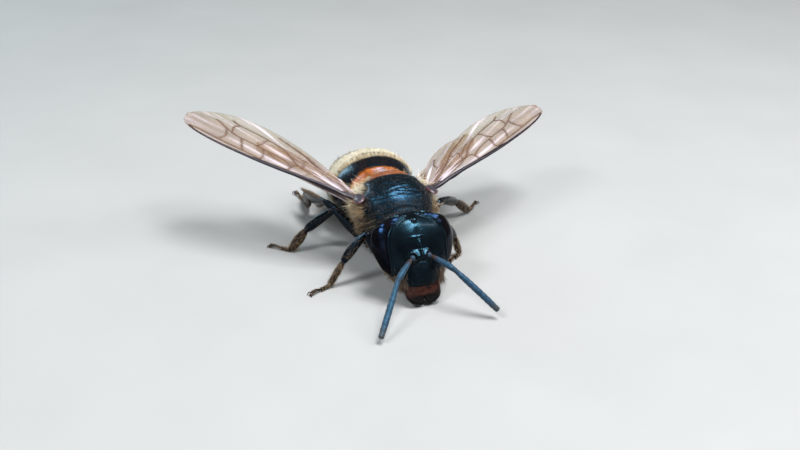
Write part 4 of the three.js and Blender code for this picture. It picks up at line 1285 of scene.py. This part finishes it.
def in_order(skin):
    """The same triangles in one fixed order. Spin stores its faces in an order that changes from run to
    run, and hairs that are drawn by number would then grow in other places each time."""
    steps = np.round(skin * ORDER_STEPS).astype(np.int64)
    keys = (steps[..., 0] * ORDER_BASE + steps[..., 1]) * ORDER_BASE + steps[..., 2]
    row = np.arange(len(skin))[:, None]
    corner = (keys.argmin(axis=1)[:, None] + np.arange(3)) % 3
    skin, keys = skin[row, corner], keys[row, corner]
    return skin[np.lexsort(keys.T[::-1])]


def sow(skin, count, density, draw):
    """Roots on a skin and the outward direction at each; density says how close they grow."""
    first, second = skin[:, 1] - skin[:, 0], skin[:, 2] - skin[:, 0]
    outward = np.cross(first, second)
    weight = np.linalg.norm(outward, axis=1) * density(skin.mean(axis=1), unit(outward))
    chosen = draw.choice(len(skin), count, p=weight / weight.sum())
    u, v = draw.random((2, count))
    u, v = np.where(u + v > 1, 1 - u, u), np.where(u + v > 1, 1 - v, v)
    roots = skin[chosen, 0] + first[chosen] * u[:, None] + second[chosen] * v[:, None]
    return roots, unit(outward)[chosen]


# %% A helper that builds one piece of the coat
# share of the hair's length, share of its thickness
HAIR_RINGS = [(-0.05, 1.0), (0.38, 0.9), (0.75, 0.55)]
HAIR_CORNERS, HAIRS_IN_LOCK = 3, 9
# how much hairs differ in length and in thickness
UNEVEN_LENGTH, UNEVEN_RADIUS = 0.22, 0.15
LOWEST = 0.002
# size of a hair's patch on the unwrapped skin
PATCH = 0.003


def coat_piece(name, roots, outward, lie, unwrapped, length, radius, tint, draw, stand=0.5, wild=0.25,
               lock=0.3):
    """Solid hairs joined into one piece. lie is the way the hairs lie, unwrapped the place of each root on
    the unwrapped skin, tint how pale they are, stand how steeply they leave the skin, wild how uneven they
    are, and lock how much of their lean they share with their neighbours."""
    count = len(roots)
    centres = roots[draw.choice(count, max(1, count // HAIRS_IN_LOCK), replace=False)]
    tree = kdtree.KDTree(len(centres))
    for number, centre in enumerate(centres):
        tree.insert(Vector(centre), number)
    tree.balance()
    locks = np.array([tree.find(Vector(root))[1] for root in roots])
    lean = lock * draw.normal(size=(len(centres), 3))[locks] + wild * draw.normal(size=(count, 3))
    lie = unit(lie - outward * (lie * outward).sum(axis=1, keepdims=True))
    start = unit(outward * stand + lie * (1 - stand) + 0.3 * lean)
    finish = unit(lie + outward * 0.35 * stand + lean)
    length = length * np.exp(UNEVEN_LENGTH * draw.normal(size=count))
    radius = radius * np.exp(UNEVEN_RADIUS * draw.normal(size=count))
    turns = 2 * np.pi * np.arange(HAIR_CORNERS) / HAIR_CORNERS
    rings, along = [], []
    for share, thick in HAIR_RINGS + [(1.0, 0.0)]:
        middle = roots + length[:, None] * (start * (share - share ** 2 / 2) + finish * share ** 2 / 2)
        ahead = unit(start * (1 - share) + finish * share)
        across = unit(np.cross(ahead, outward + 0.01))
        up = np.cross(across, ahead)
        for turn in turns if thick else turns[:1]:
            rings.append(middle + (radius * thick)[:, None] * (across * math.cos(turn) + up * math.sin(turn)))
            along.append(share)
    corners = np.stack(rings, axis=1)
    per_hair = corners.shape[1]
    corners = corners.reshape(-1, 3)
    corners[:, 2] = np.maximum(corners[:, 2], LOWEST)

    pairs = [(corner, (corner + 1) % HAIR_CORNERS) for corner in range(HAIR_CORNERS)]
    lows = [ring * HAIR_CORNERS for ring in range(len(HAIR_RINGS))]
    faces = [[low + corner, low + after, high + after, high + corner]
             for low, high in zip(lows, lows[1:]) for corner, after in pairs]
    faces += [[lows[-1] + corner, lows[-1] + after, per_hair - 1] for corner, after in pairs]
    faces.append(list(range(HAIR_CORNERS))[::-1])
    loops = np.array([corner for face in faces for corner in face])
    sizes = np.array([len(face) for face in faces])
    every_loop = (np.arange(count)[:, None] * per_hair + loops).ravel()
    starts = np.concatenate([[0], np.cumsum(np.tile(sizes, count))[:-1]])

    mesh = bpy.data.meshes.new(name)
    mesh.vertices.add(len(corners))
    mesh.vertices.foreach_set("co", (corners * MM + np.array(PLACE.translation)).ravel())
    mesh.loops.add(len(every_loop))
    mesh.loops.foreach_set("vertex_index", every_loop)
    mesh.polygons.add(len(starts))
    mesh.polygons.foreach_set("loop_start", starts)
    mesh.update(calc_edges=True)
    aside = (np.arange(per_hair) % HAIR_CORNERS) / HAIR_CORNERS - 0.33
    patch = np.stack([aside, np.array(along) - 0.5], axis=1)
    uv = (unwrapped[:, None] + PATCH * patch[None])[:, loops]
    mesh.uv_layers.new(name="OFBake").data.foreach_set("uv", uv.ravel())
    mark(mesh, "tint", np.repeat(tint, per_hair))
    mark(mesh, "along", np.tile(along, count))
    mesh.shade_smooth()
    mesh.materials.append(coat_hair)
    piece = shown(name, mesh)
    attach(piece, "root")
    print(name, "hairs:", count, "triangles:", count * int((sizes - 2).sum()))
    return piece


# %% [markdown]
# ### The colour of the hair
# The hair runs from near black on the back, through red-brown and tan, to the pale cream of the felt
# bands. All the pieces share one finish, and each hair carries its own place on that scale. The roots are
# darker than the tips, because less light reaches them.

# %% Make the finish of the hair
coat_hair = finish_of("coat_hair", (0.4, 0.3, 0.18), 0.42, IOR=1.5, Sheen_Weight=0.15, Sheen_Roughness=0.4)
hair_tone = tone(coat_hair, tagged(coat_hair, "tint"), [
    (0.0, (0.010, 0.009, 0.009)), (0.2, (0.075, 0.036, 0.018)), (0.42, (0.30, 0.185, 0.085)),
    (0.65, (0.56, 0.42, 0.24)), (0.85, (0.80, 0.68, 0.45)), (1.0, (0.92, 0.87, 0.74))])
root_shade = spread(coat_hair, tagged(coat_hair, "along"), 0.5, 1.0, 0.0, 0.6)
feed(coat_hair, "Base Color", blend(coat_hair, root_shade, (0.03, 0.017, 0.009), hair_tone))
uneven_gloss(coat_hair, 12, 0.34, 0.52)


# %% Helpers for the unwrapped skins
def within(places):
    """Keeps a place of the unwrapped skin inside the sheet."""
    return 0.01 + 0.98 * np.clip(places, 0, 1)


def unrolled(places, axis_low, axis_high, middle_height):
    """A barrel unrolled: the angle round the body's axis, and the distance along it."""
    around = np.arctan2(places[:, 0], places[:, 2] - middle_height) / (2 * np.pi) + 0.5
    return within(np.stack([around, (places[:, 1] - axis_low) / (axis_high - axis_low)], axis=1))


def thorax_unrolled(places):
    return unrolled(places, -1.9, 1.9, 2.6)


def in_head(places):
    """Places in the head's own upright frame."""
    upright = np.array(HEAD.to_3x3())
    return (places - np.array(HEAD_AT)) @ upright


def head_way(way):
    """A direction of the head's own frame, in the bee's frame."""
    return np.array(HEAD.to_3x3()) @ np.array(way, float)


def head_unrolled(places):
    local = in_head(places)
    around = np.arctan2(local[:, 0], -local[:, 1]) / (2 * np.pi) + 0.5
    return within(np.stack([around, (local[:, 2] + 2.4) / 4.2], axis=1))


# %% [markdown]
# ### The coat of the thorax
# On a worn bee the middle of the back is nearly bald. Hair is left on the flanks, round the wing roots and
# over the waist. A density says how thickly the hair grows at each place of the skin, so that the coat
# thins out softly. Hairs sown at an even spacing and then cut away would leave a hard edge.

# %% Grow the coat of the thorax
draw = np.random.default_rng(11)
HAIRS = {"flank": 4200, "waist": 7000, "back": 1700, "face": 240, "nape": 5200, "mouth": 800}
thorax_triangles = skin_of(thorax_skin)


def flank_density(place, outward):
    wild_side = thorax_fleece(place, outward)
    by_wing_root = near(np.linalg.norm((place - np.array([0, 0.35, 3.6])) * [0, 1, 1.2], axis=1), 0.6)
    patches = 0.08 + ramp(ripple(place, 1.3), -0.2, 0.25)
    return wild_side ** 2 * patches * (1 + 1.5 * by_wing_root) * (0.02 + ramp(place[:, 1], -0.85, -0.25))


for side_name, side in SIDES.items():
    def one_flank(place, outward):
        return flank_density(place, outward) * (place[:, 0] * side > 0) * (place[:, 1] < 1.25)

    roots, outward = sow(thorax_triangles, HAIRS["flank"], one_flank, draw)
    zero = np.zeros(len(roots))
    lie = np.stack([0.25 * side + zero, 0.75 + zero, -0.55 - 0.2 * (roots[:, 2] < 2.2)], axis=1)
    high, forward = ramp(roots[:, 2], 1.6, 3.4), ramp(-roots[:, 1], 0.0, 0.8)
    behind_wing = near(np.linalg.norm(roots - np.array([1.35 * side, 0.75, 3.6]), axis=1), 0.9)
    tint = (0.28 + 0.3 * high - 0.14 * forward + 0.34 * behind_wing + 0.1 * ripple(roots, 3.2)
            + 0.12 * draw.normal(size=len(roots)))
    coat_piece(f"coat_flank_{side_name}", roots, outward, lie, thorax_unrolled(roots),
               0.3 + 0.26 * high, 0.009, tint, draw, stand=0.62, wild=0.4, lock=0.4)


def waist_density(place, outward):
    rim = ramp(np.hypot(place[:, 0], place[:, 2] - 2.4), 0.9, 1.3) * ramp(abs(place[:, 0]), 0.7, 1.1)
    low = ramp(-place[:, 2], -2.9, -2.4)
    return (place[:, 1] > 1.0) * thorax_fleece(place, outward) * (0.08 + rim + low)


roots, outward = sow(thorax_triangles, HAIRS["waist"], waist_density, draw)
tint = 0.62 + 0.1 * draw.normal(size=len(roots))
coat_piece("coat_waist", roots, outward, (0, 0.7, -0.5), thorax_unrolled(roots), 0.5, 0.011, tint, draw,
           stand=0.6)


def back_density(place, outward):
    on_top = (1 - thorax_fleece(place, outward)) * ramp(outward[:, 2], 0.0, 0.3) * (place[:, 1] < 1.3)
    return on_top * (0.3 + ramp(abs(place[:, 0]), 0.8, 1.6) + 0.8 * ramp(-place[:, 1], 0.95, 1.4))


roots, outward = sow(thorax_triangles, HAIRS["back"], back_density, draw)
edge = ramp(abs(roots[:, 0]), 1.25, 1.75)
tint = 0.04 + 0.3 * edge + 0.05 * draw.random(len(roots))
coat_piece("coat_back", roots, outward, (0, 0.9, -0.2), thorax_unrolled(roots), 0.1 + 0.16 * edge, 0.006, tint,
           draw, stand=0.25)

# %% [markdown]
# ### The coat of the head
# The face keeps a few dark bristles, the back of the head a dense ruff that shows behind the eyes, and the
# mouth a beard beside the jaws. One density could sow them all, but each has its own length and lie, so
# each is sown alone. The first two leave the eyes bare, apart from their lowest edge, because hairs that
# grow through a glossy eye would spoil the whole head.

# %% Grow the coat of the head
head_triangles = skin_of(head_capsule)


def face_density(place, outward):
    local = in_head(place)
    bare = ramp(eye_inset(local), -0.12, -0.02)
    clypeus = ramp(clypeus_inset(local), -0.02, 0.05) * (local[:, 1] < -0.3)
    return (1 - bare) * (1 - 0.75 * clypeus) * (local[:, 1] < 0.1) * ramp(-local[:, 2], 0.1, 0.5)


roots, outward = sow(head_triangles, HAIRS["face"], face_density, draw)
length, tint = 0.08 + 0.05 * draw.random(len(roots)), 0.03 * draw.random(len(roots))
coat_piece("coat_face", roots, outward, head_way((0, -0.2, -1)), head_unrolled(roots), length, 0.0035, tint,
           draw, stand=0.4)


def nape_density(place, outward):
    local = in_head(place)
    bare = ramp(eye_inset(local), -0.1, -0.02)
    crown = ramp(local[:, 2], 0.7, 1.1)
    ruff = (1 - bare) * (1 - 0.8 * crown) * ramp(local[:, 1], 0.05, 0.35)
    return ruff + 0.3 * ramp(-local[:, 2], 0.7, 1.2) * ramp(abs(local[:, 0]), 0.7, 0.95)


roots, outward = sow(head_triangles, HAIRS["nape"], nape_density, draw)
local = in_head(roots)
outer = unit(np.stack([local[:, 0], 0 * local[:, 0], local[:, 2] * 0.6], axis=1)) @ np.array(HEAD.to_3x3()).T
length = 0.18 + 0.1 * draw.random(len(roots))
beside_eye = 0.22 * near(eye_inset(local) + 0.16, 0.26) * ramp(-local[:, 2], -0.6, -0.1)
tint = (0.2 + 0.2 * ramp(local[:, 2], -0.9, 0.3) - 0.3 * ramp(local[:, 2], 0.3, 0.9) + beside_eye
        + 0.1 * draw.normal(size=len(roots)))
coat_piece("coat_nape", roots, outward, outer + 0.5 * head_way((0, 0.8, -0.4)), head_unrolled(roots), length,
           0.008, tint, draw, stand=0.65)


def mouth_density(place, outward):
    local = in_head(place)
    return ramp(-local[:, 2], 0.75, 1.35) * ramp(abs(local[:, 0]), 0.62, 0.8)


roots, outward = sow(head_triangles, HAIRS["mouth"], mouth_density, draw)
length, tint = 0.26 + 0.1 * draw.random(len(roots)), 0.22 + 0.06 * draw.normal(size=len(roots))
coat_piece("coat_mouth", roots, outward, head_way((0, -0.1, -1)), head_unrolled(roots), length, 0.007, tint,
           draw, stand=0.5)

# %% [markdown]
# ### The coat of the abdomen
# Short hair lies flat along the rings, and is so dense at the front of the third ring that it makes a band
# of cream felt. A painted band would look flat where it meets the bare, dark shell, so the band is
# thousands of short hairs. The few hairs outside a band are dark, and hardly show on the shell.

# %% Grow the coat of the abdomen
ring_triangles = [in_order(skin_of(plate)) for plate in back_plates]
# for each ring, number of hairs, start and end of the band on the ring, how pale it is, length
FELT_BANDS = [
    (160, 0.0, 0.9, 0.66, 0.24),
    (1500, 0.92, 1.0, 0.92, 0.34),
    (12000, 0.0, 0.66, 0.93, 0.27),
    (3500, 0.1, 0.34, 0.75, 0.2),
    (2500, 0.1, 0.36, 0.6, 0.2),
    (1500, 0.1, 0.9, 0.4, 0.2),
]
# the first ring of each piece, and the ring after its last
FELT_PIECES = {"coat_abdomen_front": (0, 2), "coat_abdomen_felt": (2, 3), "coat_abdomen_rear": (3, 6)}
DARK_HAIR, STRAY_HAIR = 0.12, 0.03


def belt(index, place):
    """The share of ring index at which each place lies."""
    shares = np.linspace(0, 1, 200)
    along = between(ABDOMEN_ROWS, shares)[:, 0]
    share = np.interp(place[:, 1] + 0.12 * (place[:, 2] - 2.0), along, shares)
    return (share - ABDOMEN_JOINTS[index]) / (ABDOMEN_JOINTS[index + 1] - ABDOMEN_JOINTS[index])


felt = []
for index, (count, start, end, pale, long) in enumerate(FELT_BANDS):
    def in_band(place):
        reach = belt(index, place)
        return ramp(reach, start - 0.06, start + 0.05) * ramp(-reach, -end - 0.05, -end + 0.05)

    def felt_density(place, outward):
        outside = ramp((outward * (place - [0, 0, 1.9]))[:, [0, 2]].sum(axis=1), 0.2, 0.6)
        return outside * ((index > 1) * STRAY_HAIR + in_band(place))

    roots, outward = sow(ring_triangles[index], count, felt_density, draw)
    tint = DARK_HAIR + (pale - DARK_HAIR) * in_band(roots) ** 0.5 + 0.07 * draw.normal(size=count)
    felt.append((roots, outward, np.full(count, long), tint))
for name, (first, after_last) in FELT_PIECES.items():
    roots, outward, length, tint = (np.concatenate(parts) for parts in zip(*felt[first:after_last]))
    coat_piece(name, roots, outward, (0, 1, -0.15), unrolled(roots, 2.0, 8.5, 1.9), length, 0.010, tint, draw,
               stand=0.22, wild=0.16, lock=0.16)

# %% [markdown]
# ### The coat of the legs
# Stiff hairs point down each leg and are densest on the foot, and two fringes along the hind shin close
# the pollen basket. The roots could be sown on the skin as before, but each length of a leg is a limb with
# its own middle line, so a share along it and an angle round it place a hair more simply.

# %% Grow the coat of the legs
# hairs on each length of a leg, their length in millimetres and how pale they are
LEG_HAIR = [(120, 0.2, 0.4), (20, 0.15, 0.3), (50, 0.15, 0.2), (110, 0.12, 0.34), (300, 0.13, 0.48),
            (60, 0.09, 0.44), (60, 0.09, 0.44), (60, 0.09, 0.44), (70, 0.09, 0.44)]
# number and length of the hairs that fringe the pollen basket
BASKET_HAIRS, BASKET_LENGTH = 700, 0.42
SHIN_ROW = 3


def hairs_of_leg(column, lengths, pair):
    """Roots, outward, lie, place on the sheet, length and tint of the hairs of one leg."""
    found = []
    for row, ((places, halves, thin_axis, _brown), (count, long, pale)) in enumerate(zip(lengths, LEG_HAIR)):
        share, turn = draw.random(count), draw.random(count) * 2 * np.pi
        length = np.full(count, long)
        if pair == "hind" and row == SHIN_ROW:
            fringe = np.tile([0, np.pi], BASKET_HAIRS // 2) + 0.2 * draw.normal(size=BASKET_HAIRS)
            share = np.concatenate([share, 0.15 + 0.8 * draw.random(BASKET_HAIRS)])
            turn = np.concatenate([turn, fringe])
            length = np.concatenate([length, np.full(BASKET_HAIRS, BASKET_LENGTH)])
        path, out, ahead = limb_at(places, halves, thin_axis, 0.06 + 0.88 * share, turn)
        # the sheet has a column for each leg and a row for each length of it
        cell = np.stack([(column + 0.1 + 0.8 * (turn / (2 * np.pi) % 1)) / 6,
                         (row + 0.1 + 0.8 * share) / 10], axis=1)
        tint = pale + 0.1 * draw.normal(size=len(share))
        found.append((path + out * 0.97, unit(out), ahead, within(cell), length, tint))
    return [np.concatenate(column) for column in zip(*found)]


for group, pairs in (("coat_legs_front", ("fore", "mid")), ("coat_legs_hind", ("hind",))):
    grown = [hairs_of_leg(column, lengths, leg_name.split("_")[0])
             for column, (leg_name, lengths) in enumerate(leg_parts.items()) if leg_name.split("_")[0] in pairs]
    roots, outward, lie, cell, length, tint = (np.concatenate(parts) for parts in zip(*grown))
    coat_piece(group, roots, outward, lie, cell, length, 0.0055, tint, draw, stand=0.4, wild=0.15, lock=0.12)

# %% [markdown]
# ## Floor, light and camera
# The model stands on a plain pale floor. A bee outdoors is lit by the whole sky, and its shell mirrors
# that sky as small cool glints on every surface that faces up. A picture of a sky could light it, but soft
# boxes need no file, and each can be placed for one glint. Two hang overhead, for soft shadows and the
# glint of the crown. One on each side lights the eyes, a bluish one behind the rings and the wings, and a
# weak warm one fills the shadows in front.

# %% Lay the floor
FLOOR_HALF = 3000
floor_paint = finish_of("floor_paint", (0.385, 0.382, 0.376), 0.8, Specular_IOR_Level=0.2)
feed(floor_paint, "Base Color", tone(floor_paint, grain(floor_paint, 0.15), [
    (0.3, (0.375, 0.372, 0.366)), (0.7, (0.395, 0.392, 0.386))]))
bm = bmesh.new()
bmesh.ops.create_grid(bm, x_segments=1, y_segments=1, size=FLOOR_HALF)
moved(bm, PLACE)
floor_mesh = bpy.data.meshes.new("floor")
bm.to_mesh(floor_mesh)
bm.free()
floor_mesh.materials.append(floor_paint)
floor = shown("floor", floor_mesh)
print("floor, mm across:", 2 * FLOOR_HALF)

# %% Hang the lights
LIGHT_AIM = (0, 0, 2)
COOL = (0.96, 0.985, 1.0)
# name, place, width and length in bee millimetres, watts, colour, degrees turned round the way it shines
LIGHTS = [
    ("sky_box", (22, -9, 110), 32, 30, 0.115, COOL, 0),
    ("crown_box", (30, -46, 98), 24, 24, 0.065, COOL, 0),
    ("right_box", (-63, -28, 86), 34, 16, 0.06, (0.93, 0.97, 1.0), 18),
    ("left_box", (69, -28, 81), 54, 10, 0.045, (0.93, 0.96, 1.0), -41),
    ("rear_box", (-56, 90, 42), 26, 50, 0.034, (0.68, 0.92, 1.0), 0),
    ("front_fill", (-60, -95, 45), 60, 60, 0.01, (1.0, 0.97, 0.93), 0),
]


def looking(place, aim):
    """The turn of a light or camera at one place of the scene that looks at another."""
    return (aim - place).to_track_quat("-Z", "Y")


for name, place, width, length, power, colour, turn in LIGHTS:
    light = bpy.data.lights.new(name, "AREA")
    light.shape, light.size, light.size_y = "RECTANGLE", width * MM, length * MM
    light.energy, light.color = power, colour
    lamp = shown(name, light)
    lamp.location = PLACE @ Vector(place)
    spin = Quaternion((0, 0, 1), math.radians(turn))
    lamp.rotation_euler = (looking(lamp.location, PLACE @ Vector(LIGHT_AIM)) @ spin).to_euler()
world = bpy.data.worlds.new("studio")
world.use_nodes = True
air = world.node_tree.nodes["Background"].inputs
air["Color"].default_value, air["Strength"].default_value = (0.86, 0.89, 0.93, 1), 0.08
bpy.context.scene.world = world
bpy.context.scene.view_settings.view_transform = "Standard"
print("lights:", len(LIGHTS))

# %% Set up the camera
CAMERA_AT, CAMERA_AIM = (-11.84, -40.78, 23.58), (-0.45, -2.34, 3.15)
lens = bpy.data.cameras.new("camera")
lens.lens, lens.sensor_width = 46.8, 36
lens.clip_start, lens.clip_end = 0.002, 4
camera = shown("camera", lens)
camera.location = PLACE @ Vector(CAMERA_AT)
camera.rotation_euler = looking(camera.location, PLACE @ Vector(CAMERA_AIM)).to_euler()
bpy.context.scene.camera = camera
print("camera, mm away:", round((Vector(CAMERA_AT) - Vector(CAMERA_AIM)).length, 1))
